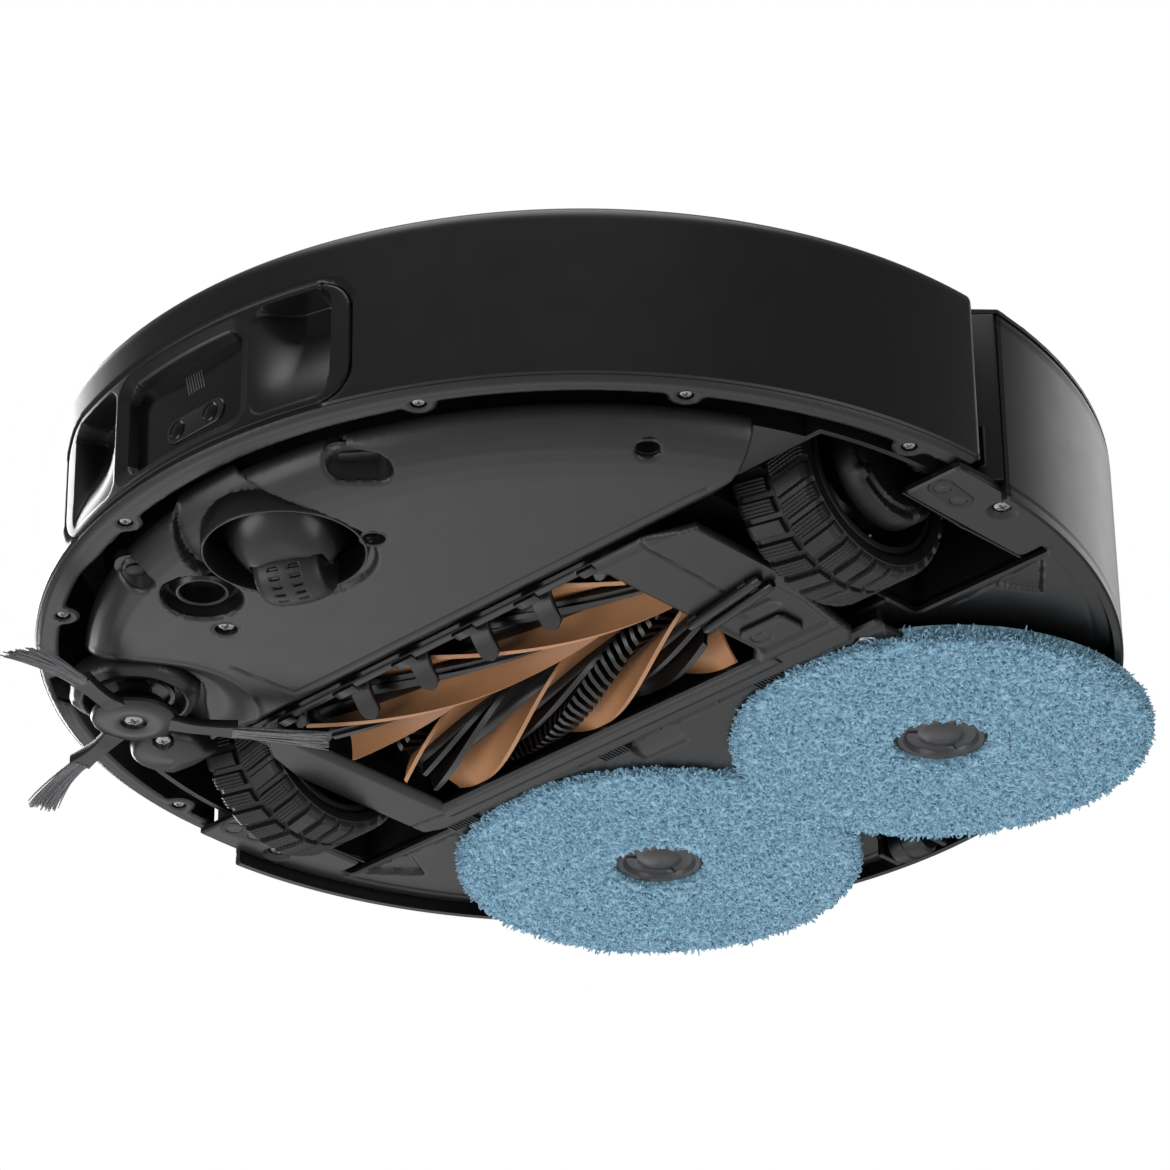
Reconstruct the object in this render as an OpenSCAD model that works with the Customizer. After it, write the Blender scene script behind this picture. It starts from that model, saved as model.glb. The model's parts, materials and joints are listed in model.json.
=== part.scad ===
// Round robot vacuum with two rotating mop pads. Front faces -Y, +Z is up, the floor is Z = 0.
// The robot's right side, with the side brush, is -X.

/* [Body] */
// Radius of the round body
body_r = 175; // [174:0.5:176]
// Height of the bumper's upper edge
top_z = 85; // [84:0.5:86]
// Height of the flange under the bumper
flange_z = 22.3; // [22.3:0.1:22.6]
// Lowest height of the bottom plate
plate_z = 12; // [11.5:0.25:12.5]
// Wall thickness of the outer shells
shell_t = 3; // [2.5:0.25:3.5]

/* [Bumper] */
// How far forward the bumper's centre lies
bumper_forward = 1.5; // [1:0.25:1.5]
// Where the bumper's two ends stop
bumper_end_y = -4; // [-6:0.5:-4]
// Half angle of the front insert
insert_angle = 21.8; // [20:0.1:22.5]
// Radius of the circle of flange screws
flange_screw_r = 167; // [166.5:0.5:167.5]

/* [Wheels] */
// Radius of the drive tyres
tyre_r = 35; // [34:0.5:36]
// Width of the drive tyres
tyre_w = 30; // [28:0.5:30]
// Distance of each drive wheel's middle from the centre line
wheel_x = 121; // [120:0.5:121]
// Front-to-back place of the drive wheels
wheel_y = -9; // [-10:0.5:-8]

/* [Caster] */
// Place of the caster's swivel in front of the centre
caster_y = -130; // [-131:0.5:-129]
// Angle the caster is turned to at rest
caster_turn = 25; // [15:1:40]
// Radius of the caster's roller
caster_r = 12; // [11.5:0.25:12]

/* [Rollers] */
// Radius of the brush rollers over their fins
roller_r = 19; // [18:0.5:19]
// Height of both roller axes
roller_z = 27; // [26:0.5:28]
// Front-to-back place of the front roller
front_roller_y = -31.5; // [-32:0.5:-31]
// Front-to-back place of the rear roller
rear_roller_y = 9; // [8:0.5:9]

/* [Side brush] */
// Reach of the bristles from the hub
brush_reach = 68; // [60:1:68]
// Angle the first brush arm points to
brush_turn = 53.8; // [45:0.1:60]

/* [Mops] */
// Radius of the mop pads without their pile
pad_r = 63.5; // [61:0.5:63.5]
// Distance of each pad's middle from the centre line
pad_x = 64; // [64:0.5:65]
// Front-to-back place of the pads
pad_y = 105; // [103:0.5:105]
// Height of the raised pads' lower face
pad_z = 7.5; // [7:0.25:7.5]

/* [Hidden] */

$fn = 96;
black = [0.07, 0.07, 0.075];
dark_grey = [0.2, 0.2, 0.21];
copper = [0.72, 0.45, 0.3];
pad_blue = [0.45, 0.66, 0.82];
steel = [0.75, 0.75, 0.77];

eps = 0.01;
far = 400;
bumper_y = -bumper_forward;
shell_y = bumper_forward;
inner_r = body_r - shell_t;
plate_r = 160;
plate_t = 2.5;
floor_z = 24;
floor_t = 2;
frame_r = 155;
frame_wall = 2;
deck_z = 82.2;
frame_top = deck_z;
deck_edge_z = 84.6;
deck_top_z = 86.6;
deck_r = 168.5;
rear_low_z = 15.5;
rear_plate_z = 19.5;
pad_top_z = rear_low_z - 0.3;
well_x0 = 103;
well_x1 = 158;
well_y0 = -50;
well_y1 = 48;
well_top = 76;
bay_x0 = -101;
bay_x1 = 79;
bay_y0 = -57;
bay_y1 = 34;
bay_top = 50;
cover_z = 10;
cover_t = 2.4;
lid_x = 96;
lid_y0 = -62;
lid_y1 = 24;
bin_low = 50.5;
bin_top = 81.5;
turret_y = 72;
turret_r = 44;
turret_top = 97;
arm_pivot = [-128, -64];
hub_at = [-106.4, -97.7];
arm_low_z = 12;
arm_top_z = 21.6;
arm_pin_r = 4;
arm_hub_r = 21;
arm_reach = norm(hub_at - arm_pivot);
arm_dir = (hub_at - arm_pivot) / arm_reach;
arm_side = [-arm_dir.y, arm_dir.x];
well_wall_r = 160.5;
caster_top = 32;
fit_gap = 0.05;
clear_gap = 0.4;
trail = 9;
caster_axle_z = caster_r;
suspension_at = [38, 54];
worm_y = pad_y - 16.6;
worm_z = 44.5;

// A rounded rectangle from exact circles and squares
module rounded_rect(x0, x1, y0, y1, r) {
    translate([x0 + r, y0]) square([x1 - x0 - 2 * r, y1 - y0]);
    translate([x0, y0 + r]) square([x1 - x0, y1 - y0 - 2 * r]);
    for (x = [x0 + r, x1 - r], y = [y0 + r, y1 - r]) translate([x, y]) circle(r);
}

module rounded_block(x0, x1, y0, y1, r, z0, z1) {
    translate([0, 0, z0]) linear_extrude(z1 - z0) rounded_rect(x0, x1, y0, y1, r);
}

// A rounded block whose outline lies in the XZ plane
module front_block(x0, x1, z0, z1, r, y0, y1) {
    translate([0, y1, 0]) rotate([90, 0, 0]) linear_extrude(y1 - y0) rounded_rect(x0, x1, z0, z1, r);
}

module disc(r, z0, z1) {
    translate([0, 0, z0]) cylinder(h = z1 - z0, r = r);
}

module ring(ro, ri, z0, z1) {
    difference() {
        disc(ro, z0, z1);
        disc(ri, z0 - 1, z1 + 1);
    }
}

module ahead_of(y) {
    intersection() {
        children();
        translate([-far / 2, y - far, -1]) cube([far, far, far]);
    }
}

module behind(y) {
    intersection() {
        children();
        translate([-far / 2, y, -1]) cube([far, far, far]);
    }
}

// Puts children on the circle r at an angle measured from the front towards the robot's left
module polar(r, angle) {
    translate([r * sin(angle), -r * cos(angle), 0]) rotate([0, 0, angle]) children();
}

module both_sides() {
    children();
    mirror([1, 0, 0]) children();
}

module pan_screw(r, z, h) {
    difference() {
        disc(r, z, z + h);
        translate([-r * 0.6, -0.4, z - 1]) cube([r * 1.2, 0.8, 1.6]);
        translate([-0.4, -r * 0.6, z - 1]) cube([0.8, r * 1.2, 1.6]);
    }
}

/* Openings shared by the plates and the frame */
module wheel_well(z0, z1) {
    translate([well_x0, well_y0, z0]) cube([well_x1 - well_x0, well_y1 - well_y0, z1 - z0]);
}

// The room that the side brush arm sweeps through as it swings out
module arm_bay(z0, z1) {
    translate([hub_at.x, hub_at.y, 0]) disc(arm_hub_r + 1.2, z0, z1);
    intersection() {
        translate([arm_pivot.x, arm_pivot.y, 0]) disc(arm_reach + arm_hub_r + 1.2, z0, z1);
        translate([0, 0, z0]) linear_extrude(z1 - z0)
            polygon([arm_pivot + 15 * arm_side, hub_at + (arm_hub_r + 1.2) * arm_side, hub_at + 60 * arm_dir,
                arm_pivot + [-90, -90], arm_pivot + [-90, 15], arm_pivot + [0, 15]]);
    }
}

module mop_sweep(r, z0, z1) {
    both_sides() translate([pad_x, pad_y, 0]) disc(r, z0, z1);
}

/* Bottom */
module bottom_plate() {
    color(dark_grey) difference() {
        rotate_extrude() polygon([[0, plate_z], [138, plate_z], [150, 14], [156.5, 17.5], [plate_r, 22.6],
            [plate_r - plate_t, 22.6], [154.6, 19.2], [149, 16.3], [137.6, plate_z + plate_t], [0, plate_z + plate_t]]);
        translate([-far / 2, bay_y0 - 2.5, 0]) cube([far, far, far]);
        arm_bay(0, 30);
        linear_extrude(30) polygon([[118, -59], [130, -64], [148, -74], [far, -74], [far, 0], [118, 0]]);
        translate([0, caster_y, 0]) disc(26, 0, 30);
        translate([48.5, -145.3, 0]) rounded_block(-10.65, 10.65, -4.65, 4.65, 4.55, 0, 30);
        translate([-50.5, -146.3, 0]) disc(6.65, 0, 30);
        translate([-39.5, -128.5, 0]) disc(12.65, 0, 30);
        for (at = [[25.2, -116], [-48.6, -110], [118, -91.6]]) translate([at.x, at.y, 0]) disc(3.6, 0, 30);
    }
}

module mid_plate() {
    color(dark_grey) difference() {
        union() {
            rounded_block(-99, 99, 35, 72, 4, plate_z, plate_z + plate_t);
            translate([-97, 36, plate_z]) cube([194, 3, rear_plate_z - plate_z]);
        }
        mop_sweep(66, 0, 30);
        translate([-20, 44, 0]) cube([26, 9, 14]);
        both_sides() translate([88, 41, 0]) disc(3.6, 0, 30);
        for (x = [-88, -22, 48]) translate([x, 35.5, 0]) cube([12, 3, 13.5]);
    }
}

module rear_plate() {
    color(dark_grey) difference() {
        union() {
            behind(-11) translate([0, shell_y, 0]) disc(inner_r, rear_plate_z, rear_plate_z + plate_t);
            both_sides() translate([9.2, 159, 13.5]) cube([2.4, 11, rear_plate_z - 13.5 + eps]);
        }
        both_sides() difference() {
            wheel_well(0, 50);
            translate([149.5, -14, 0]) cube([20, 58, 60]);
        }
        translate([bay_x0 - 1, -far / 2, 0]) cube([-2 * bay_x0 + 2, far / 2 + 34.5, 60]);
        both_sides() translate([88, 41, 0]) disc(3.6, 0, 60);
        both_sides() translate([pad_x, pad_y, 0]) disc(11, 0, 60);
        both_sides() translate([0, 0, rear_plate_z - 1]) linear_extrude(2) polygon([[134, 52], [152, 50], [140, 64]]);
        both_sides() translate([164, 18.2, 0]) disc(4, 0, 60);
        translate([0, 164.5, 0]) rounded_block(-9, 9, -8, 8, 2, 0, 60);
        translate([0, 164.5, 17]) rotate([0, 90, 0]) disc(1.8 + fit_gap, -20, 20);
    }
}

// The block of space that each wheel housing fills, walls included
module housing_block() {
    both_sides() translate([well_x0 - frame_wall, well_y0 - frame_wall, 0])
        cube([far, well_y1 - well_y0 + 2 * frame_wall, well_top + frame_wall]);
}

module main_frame() {
    color(black) difference() {
        union() {
            disc(frame_r, floor_z, floor_z + floor_t);
            translate([0, caster_y, 0]) disc(28, floor_z, caster_top + 4);
            translate([0, caster_y, 0]) disc(9, floor_z, 52);
            translate([arm_pivot.x, arm_pivot.y, 0]) disc(8, floor_z - 2, floor_z + 8);
            for (at = [[36, -108], [-62, -104], [70, -84]])
                translate([at.x, at.y, 0]) disc(4, plate_z + plate_t, floor_z);
            for (at = [[30, 148], [118, 80]])
                both_sides() translate([at.x, at.y, 0]) disc(4, rear_plate_z + plate_t, floor_z);
        }
        housing_block();
        translate([0, caster_y, 0]) disc(26, 0, caster_top + 2);
        translate([bay_x0 - 1, bay_y0 - 1, 0]) cube([bay_x1 - bay_x0 + 2, bay_y1 - bay_y0 + 2, 60]);
        both_sides() translate([pad_x, pad_y, 0]) disc(11, 0, 60);
        translate([0, caster_y, 0]) disc(4 + fit_gap, 0, 48);
        translate([arm_pivot.x, arm_pivot.y, 0]) disc(arm_pin_r + fit_gap, 0, 29);
    }
}

module frame_wall() {
    color(black) difference() {
        ring(frame_r, frame_r - frame_wall, floor_z + floor_t, frame_top);
        housing_block();
        translate([0, caster_y, 0]) disc(28, 0, caster_top + 4);
    }
}

module wheel_housings() {
    color(black) difference() {
        intersection() {
            housing_block();
            disc(well_wall_r, floor_z, frame_top);
        }
        both_sides() intersection() {
            translate([well_x0, well_y0, 0]) cube([far, well_y1 - well_y0, well_top]);
            difference() {
                disc(well_wall_r - frame_wall, 0, well_top);
                translate([0, suspension_at.x, suspension_at.y]) rotate([0, 90, 0]) disc(8, 147, far);
            }
        }
        both_sides() translate([0, suspension_at.x, suspension_at.y]) rotate([0, 90, 0]) disc(4 + fit_gap, 140, 152);
    }
}

module rear_shell() {
    color(black) behind(8) translate([0, shell_y, 0]) difference() {
        rotate_extrude() polygon([[inner_r, rear_low_z], [body_r - 0.6, rear_low_z], [body_r, rear_low_z + 1],
            [body_r, deck_z], [inner_r, deck_z]]);
        translate([-15, 160, 30]) cube([30, 30, 12]);
        for (x = [-24, 24]) translate([x, 0, 0]) front_block(-8.1, 8.1, 49.9, 62.1, 1, 160, 190);
    }
}

module side_strips() {
    color(black) both_sides() translate([0, 0, rear_plate_z + plate_t]) linear_extrude(deck_z - rear_plate_z - plate_t)
        polygon([[161, -0.5], [166, -0.5], [173.8, 7], [173.8, 7.8], [161, 7.8]]);
}

module top_deck() {
    color(black) difference() {
        union() {
            rotate_extrude() polygon([[0, deck_z], [deck_r, deck_z], [deck_r, deck_edge_z - 1],
                [deck_r - 1, deck_edge_z], [0, deck_top_z]]);
            intersection() {
                translate([0, shell_y, 0]) rotate_extrude() polygon([[0, deck_z], [body_r, deck_z],
                    [body_r, deck_edge_z - 1], [body_r - 1, deck_edge_z], [0, deck_top_z]]);
                linear_extrude(far) polygon([[-166, -0.6], [166, -0.6], [174.8, 8], [far, 8], [far, far], [-far, far],
                    [-far, 8], [-174.8, 8]]);
            }
        }
        rounded_block(-lid_x, lid_x, lid_y0, lid_y1, 12, deck_edge_z - 1.2, far);
        rounded_block(-lid_x + 5, lid_x - 5, lid_y0 + 5, lid_y1 - 5, 9, 0, far);
        translate([0, turret_y, 0]) disc(turret_r, deck_edge_z + 0.8, far);
        translate([0, turret_y, 0]) disc(38, deck_z + 1.4, far);
        translate([0, turret_y, 0]) disc(6 + fit_gap, 0, far);
        for (x = [-14, 14]) translate([x, -106, 0]) disc(8.4, 0, far);
    }
}

module brush_housing() {
    color(black) difference() {
        translate([bay_x0, bay_y0, plate_z + 3]) cube([bay_x1 - bay_x0, bay_y1 - bay_y0, bay_top - plate_z - 3]);
        translate([bay_x0 + 8, bay_y0 + 2.5, 0]) cube([bay_x1 - bay_x0 - 22, bay_y1 - bay_y0 - 5, bay_top - 2.5]);
        translate([-35, -12, 0]) cube([70, 22, far]);
        for (y = [front_roller_y, rear_roller_y])
            translate([0, y, roller_z]) rotate([0, 90, 0]) disc(4 + fit_gap, -98, 75);
    }
}

module bottom_screws() {
    color(steel) {
        for (at = [[25.2, -116], [-48.6, -110], [118, -91.6]]) translate([at.x, at.y, 0]) pan_screw(2.8, 14, 10);
        both_sides() translate([88, 41, 0]) pan_screw(3.2, 11.6, 12.4);
        both_sides() translate([164, 18.2, 0]) pan_screw(2.8, 20.6, 3);
    }
}

module floor_sensors() {
    color("dimgray") {
        both_sides() difference() {
            translate([159.5, -1, 0]) rotate([0, 0, 8]) rounded_block(-4.6, 4.6, -9.5, 9.5, 4.5, 19.2, rear_plate_z);
            for (y = [-4.4, 4.4]) translate([159.5, -1 + y, 0]) disc(2.7, 0, 19.7);
        }
        translate([48.5, -145.3, 0]) rounded_block(-10.6, 10.6, -4.6, 4.6, 4.5, 16, 21.9);
        translate([-50.5, -146.3, 0]) disc(6.6, 16, 21.9);
    }
    color("black") translate([-39.5, -128.5, 0]) difference() {
        disc(12.6, plate_z + 0.6, 24);
        disc(10.5, 0, 15);
        disc(7, 0, 21);
    }
}

module charging_contacts() {
    color(steel) for (x = [-24, 24]) translate([x, 0, 0]) front_block(-8, 8, 50, 62, 0.9, 172, 175.3);
}

module rear_window() {
    color("black") translate([0, shell_y, 0]) intersection() {
        ring(body_r - 0.2, inner_r - 1, 30, 42);
        translate([-14.8, 160, 30.2]) cube([29.6, 30, 11.6]);
    }
}

/* Inside */
module battery_pack() {
    color("darkslategray") rounded_block(-70, 50, -100, -62, 3, floor_z + floor_t, 66);
}

module main_board() {
    color("darkgreen") translate([-60, -100, 66]) cube([150, 38, 1.6]);
    color("dimgray") for (x = [-40, 0, 40]) translate([x, -92, 67.6]) cube([16, 16, 3]);
}

module fan_motor() {
    color("dimgray") translate([64, -14, 0]) {
        disc(26, bay_top, 70);
        disc(20, 70, 79);
    }
}

module water_tank() {
    color("lightslategray") difference() {
        rounded_block(-88, 88, 52, 128, 10, 66, 80);
        translate([0, turret_y, 0]) disc(40, 60, 90);
    }
}

module roller_motor() {
    color("dimgray") {
        rounded_block(82, 98, -50, -12, 3, floor_z + floor_t, 46);
        translate([90, -6, 0]) disc(6, floor_z + floor_t, 40);
    }
}

/* Bumper */
insert_x = body_r * sin(insert_angle);

module bumper_shell() {
    color(black) ahead_of(bumper_end_y) translate([0, bumper_y, 0]) difference() {
        rotate_extrude() polygon([[inner_r, 24], [body_r - 0.6, 24], [body_r, 24.8], [body_r, top_z - 3],
            [body_r - 0.9, top_z - 0.9], [body_r - 3, top_z], [inner_r - 0.4, top_z - 0.4], [inner_r - 0.4, 81.8],
            [165, 81.8], [165, 80.4], [inner_r, 80.4]]);
        front_block(-insert_x, insert_x, 25.2, 68.5, 12, -200, -120);
    }
}

module bumper_flange() {
    color(black) ahead_of(bumper_end_y - 1) translate([0, bumper_y, 0]) difference() {
        union() {
            rotate_extrude() polygon([[165, flange_z], [body_r - 1.6, flange_z], [body_r - 0.6, 23.2],
                [body_r - 0.6, 24], [165, 24]]);
            for (a = [-81.4, -33.7, -12, 28.1, 55.6, 81.4]) polar(flange_screw_r, a) disc(5.5, flange_z, 24);
        }
        for (a = [-81.4, -33.7, -12, 28.1, 55.6, 81.4]) polar(flange_screw_r, a) disc(2.4, 0, 30);
    }
}

module bumper_insert() {
    color(black) difference() {
        intersection() {
            translate([0, bumper_y, 0]) ring(body_r - 0.15, 163, 20, 80);
            front_block(-insert_x + 0.25, insert_x - 0.25, 25.45, 68.25, 11.75, -200, -120);
        }
        both_sides() front_block(32.5, 57, 28.5, 66, 5, -200, -164);
        front_block(-26, 26, 31, 63.5, 6, -200, -166.5);
    }
}

module sensor_window() {
    color("black") front_block(-25.8, 25.8, 31.2, 63.3, 5.8, -168.3, -166.5);
}

module camera_lenses() {
    color("dimgray") {
        front_block(-11, 15, 37, 46, 4.4, -168.7, -168.3);
        for (x = [-6, 9]) translate([x, -168.7, 41.5]) rotate([90, 0, 0]) cylinder(h = 0.5, r = 3);
    }
}

module bumper_screws() {
    color(steel) translate([0, bumper_y, 0])
        for (a = [-81.4, -33.7, -12, 28.1, 55.6, 81.4]) polar(flange_screw_r, a) pan_screw(2.3, flange_z + 0.3, 1.4);
}

/* Drive wheels */
module tyre() {
    color("black") translate([0, wheel_y, tyre_r]) rotate([0, 90, 0]) difference() {
        union() {
            disc(tyre_r - 1.5, -tyre_w / 2, tyre_w / 2);
            disc(tyre_r, -tyre_w / 2 + 1.5, tyre_w / 2 - 1.5);
        }
        disc(28, -far, far);
    }
}

module rim() {
    color("dimgray") translate([0, wheel_y, tyre_r]) rotate([0, 90, 0]) difference() {
        union() {
            ring(28, 25.5, -tyre_w / 2, tyre_w / 2);
            disc(26, -2, 1);
            disc(8, -10, 12);
        }
        disc(3.5 + fit_gap, -20, 20);
    }
}

module gearbox() {
    arm_x = wheel_x + tyre_w / 2 + 1;
    color("black") {
        translate([arm_x, 0, 0]) rotate([90, 0, 90]) linear_extrude(9) {
            translate([wheel_y, tyre_r]) circle(21);
            translate([suspension_at.x, suspension_at.y]) circle(8);
            polygon([[wheel_y + 7, tyre_r + 19], [suspension_at.x - 2, suspension_at.y + 7.6],
                [suspension_at.x + 3, suspension_at.y - 7.4], [wheel_y + 12, tyre_r - 16]]);
        }
        translate([0, wheel_y, tyre_r]) rotate([0, 90, 0]) disc(3.5, wheel_x - 10, arm_x + eps);
        translate([0, suspension_at.x, suspension_at.y]) rotate([0, 90, 0]) disc(4, 145, 151.6);
        translate([0, wheel_y + 8, tyre_r + 10]) rotate([0, 90, 0]) disc(11, arm_x + 9 - eps, 155.5);
    }
}

module place_wheel(side) {
    if (side > 0) translate([wheel_x, 0, 0]) children();
    else mirror([1, 0, 0]) translate([wheel_x, 0, 0]) children();
}

/* Caster */
module at_caster() {
    translate([0, caster_y, 0]) rotate([0, 0, caster_turn]) children();
}

module caster_fork() {
    color("black") at_caster() difference() {
        union() {
            rotate_extrude() polygon([[0, 8.5], [14, 8.5], [20, 11.5], [23.5, 17], [23.5, 28], [20, caster_top],
                [0, caster_top]]);
            disc(4, caster_top, 47);
        }
        translate([-11.6, -6, 0]) cube([23.2, 40, caster_axle_z + caster_r + 1]);
        translate([-40, -44, 0]) cube([80, 32, 14]);
    }
    color("silver") at_caster() translate([0, trail, caster_axle_z]) rotate([0, 90, 0]) disc(1.6, -17, 17);
}

module caster_roller() {
    color("black") at_caster() translate([0, trail, caster_axle_z]) rotate([0, 90, 0]) difference() {
            rotate_extrude() polygon([[0, -11], [9, -11], [11.4, -7], [caster_r, -2], [caster_r, 2], [11.4, 7],
                [9, 11], [0, 11]]);
            disc(1.6 + fit_gap, -20, 20);
        }
}

/* Brush rollers */
module roller_core(y) {
    color("black") translate([0, y, roller_z]) rotate([0, 90, 0]) {
        disc(8, -88, 61);
        disc(4, -97, -88);
        disc(4, 61, 74);
    }
}

module roller_fins(y, x1) {
    color(copper) translate([0, y, roller_z]) rotate([0, 90, 0]) ring(roller_r, 8, -81, x1);
}

module brush_cover() {
    color(dark_grey) difference() {
        union() {
            translate([0, 0, cover_z]) linear_extrude(cover_t) difference() {
                polygon([[-103.5, 31], [-97, 34], [88, 34], [92, 29], [96.4, 5], [101.5, -14], [101.5, -53],
                    [84, -58.5], [-88, -58.5], [-99, -44], [-103.5, -29]]);
                polygon([[-84, -56], [-84.5, 22], [56, 22], [61, 17], [61, -50], [57, -56]]);
            }
            for (x = [-76, -50.2, -22.8, 4.7, 32.4, 56]) translate([x - 4, -58, cover_z]) cube([8, 12, 2]);
        }
        translate([63, 2, 0]) rounded_block(0, 24, 0, 18, 4, 0, cover_z + 1.4);
    }
}

module cover_rods() {
    color("black") for (s = [0, 5.4]) translate([64 + s * 0.2, -9 - s, cover_z - 1.9]) rotate([0, 0, -11]) rotate([0, 90, 0])
        cylinder(h = 36, r = 1.9);
}

module cover_latch() {
    color("dimgray") rounded_block(66, 82, 5, 17, 2, cover_z - 0.6, cover_z + 1);
}

/* Side brush */
module side_arm() {
    low = arm_low_z;
    screw_at = [-121.6, -71.9];
    color(dark_grey) {
        difference() {
            union() {
                translate([hub_at.x, hub_at.y, 0]) disc(arm_hub_r, low, arm_top_z);
                translate([arm_pivot.x, arm_pivot.y, 0]) disc(13, low, arm_top_z);
                translate([0, 0, low]) linear_extrude(arm_top_z - low)
                    polygon([arm_pivot + 12.9 * arm_side, hub_at + 20.9 * arm_side, hub_at - 20.9 * arm_side,
                        arm_pivot - 12.9 * arm_side]);
            }
            translate([hub_at.x, hub_at.y, 0]) disc(3 + fit_gap, 0, 60);
            translate([hub_at.x, hub_at.y, 0]) disc(15.5, 0, low + 1.5);
            translate([screw_at.x, screw_at.y, 0]) disc(3.2, 0, low + 3);
        }
        translate([arm_pivot.x, arm_pivot.y, 0]) disc(arm_pin_r, arm_top_z, 28.6);
    }
    color(steel) translate([screw_at.x, screw_at.y, 0]) pan_screw(2.6, low + 1.4, 1.6);
}

module side_brush_hub() {
    color("black") translate([hub_at.x, hub_at.y, 0]) difference() {
        union() {
            disc(14, 5, 9.5);
            disc(10, 9.5, 12.6);
            disc(3, 12.6, 21);
        }
        disc(3.6, 0, 7.5);
    }
}

module brush_arm_places() {
    translate([hub_at.x, hub_at.y, 0]) for (a = [0, 120, 240]) rotate([0, 0, brush_turn + a]) children();
}

module side_brush_arms() {
    color("black") brush_arm_places() translate([14, -3, 5.4]) cube([19, 6, 2.8]);
}

module side_brush_bristles() {
    color("gray") brush_arm_places() translate([0, 0, 3.6]) linear_extrude(2.4)
        polygon([[33, -2.4], [brush_reach, -4.5], [brush_reach, 4.5], [33, 2.4]]);
}

module side_brush_screw() {
    color(steel) translate([hub_at.x, hub_at.y, 0]) pan_screw(3.3, 5.9, 1.6);
}

/* Mops */
module mop_carrier() {
    color("black") difference() {
        union() {
            rounded_block(-84, 84, pad_y - 12, pad_y + 12, 10, 34, 38);
            both_sides() translate([pad_x, pad_y, 0]) disc(9.5, 19.6, 40);
            both_sides() translate([36, worm_y - 6, 34]) cube([4, 12, 16.5]);
        }
        translate([0, worm_y, worm_z]) rotate([0, 90, 0]) disc(4 + fit_gap, -80, 80);
        both_sides() translate([pad_x, pad_y, 0]) disc(5 + fit_gap, 0, 60);
    }
}

module mop_motor() {
    color("dimgray") translate([0, pad_y + 5, 0]) disc(14, 38, 60);
}

module mop_worm() {
    color("silver") translate([0, worm_y, worm_z]) rotate([0, 90, 0]) disc(4, -72, 72);
}

module mop_disc() {
    color("dimgray") translate([pad_x, pad_y, 0]) difference() {
        union() {
            disc(48, pad_top_z, 18.9);
            disc(5, 18.9, 48);
            disc(12, 41, 48);
            disc(15.5, 10.6, pad_top_z);
        }
        ring(12.5, 7, 10, 12);
    }
}

module mop_pad() {
    color(pad_blue) translate([pad_x, pad_y, 0]) difference() {
        disc(pad_r, pad_z, pad_top_z);
        disc(15.8, 0, 60);
    }
}

module rear_idler() {
    color("black") translate([0, 164.5, 17]) rotate([0, 90, 0]) {
        disc(6, -7, 7);
        disc(1.8, -11.5, 11.5);
    }
}

/* Top */
module top_lid() {
    color(black) difference() {
        rounded_block(-lid_x + 0.4, lid_x - 0.4, lid_y0 + 0.4, lid_y1 - 0.4, 11.6, deck_edge_z - 0.9, deck_top_z + 0.6);
        rounded_block(-16, 16, lid_y0 - 10, lid_y0 + 8, 6, deck_edge_z + 1, far);
    }
}

module dust_bin() {
    color("slategray") difference() {
        rounded_block(-88, 34, -54, 15, 6, bin_low, bin_top);
        rounded_block(-85.5, 31.5, -51.5, 12.5, 4, bin_low + 2.5, bin_top - 2.5);
        translate([-34, -11, bin_low - 1]) cube([60, 20, 6]);
    }
}

module bin_filter() {
    color("white") translate([34, -48, 56]) cube([3, 56, 20]);
}

module turret_cap() {
    color(black) translate([0, turret_y, 0]) difference() {
        disc(turret_r, deck_edge_z + 0.8, turret_top);
        disc(turret_r - 3, 0, turret_top - 2.5);
        for (a = [0, 120, 240]) rotate([0, 0, a]) intersection() {
            ring(turret_r + 5, turret_r - 6, turret_top - 9, turret_top - 4);
            linear_extrude(far) polygon([[0, 0], [80, -120], [160, 0], [80, 120]]);
        }
    }
}

module laser_head() {
    color("dimgray") translate([0, turret_y, 0]) {
        disc(30, 84.2, 94);
        disc(6, 72, 84.2);
    }
}

module button_cap(x) {
    color("black") translate([x, -106, 0]) {
        disc(8, 83.2, 87);
        disc(5, 79, 83.2);
    }
}

bottom_plate();
mid_plate();
rear_plate();
main_frame();
frame_wall();
wheel_housings();
rear_shell();
side_strips();
top_deck();
brush_housing();
bottom_screws();
floor_sensors();
charging_contacts();
rear_window();
battery_pack();
main_board();
fan_motor();
water_tank();
roller_motor();
bumper_shell();
bumper_flange();
bumper_insert();
sensor_window();
camera_lenses();
bumper_screws();
place_wheel(1) tyre();  // tyre_left
place_wheel(-1) tyre();  // tyre_right
place_wheel(1) rim();  // rim_left
place_wheel(-1) rim();  // rim_right
gearbox();  // gearbox_left
mirror([1, 0, 0]) gearbox();  // gearbox_right
caster_fork();
caster_roller();
roller_core(front_roller_y);  // front_roller_core
roller_fins(front_roller_y, 61);  // front_roller_fins
roller_core(rear_roller_y);  // rear_roller_core
roller_fins(rear_roller_y, 53);  // rear_roller_fins
brush_cover();
cover_rods();
cover_latch();
side_arm();
side_brush_hub();
side_brush_arms();
side_brush_bristles();
side_brush_screw();
mop_carrier();
mop_motor();
mop_worm();
mop_disc();  // mop_disc_left
mirror([1, 0, 0]) mop_disc();  // mop_disc_right
mop_pad();  // mop_pad_left
mirror([1, 0, 0]) mop_pad();  // mop_pad_right
rear_idler();
top_lid();
dust_bin();
bin_filter();
turret_cap();
laser_head();
button_cap(-14);  // power_button
button_cap(14);  // home_button
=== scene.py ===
import json
import math
import bpy
import numpy as np
from mathutils import Matrix, Vector, noise


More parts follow.
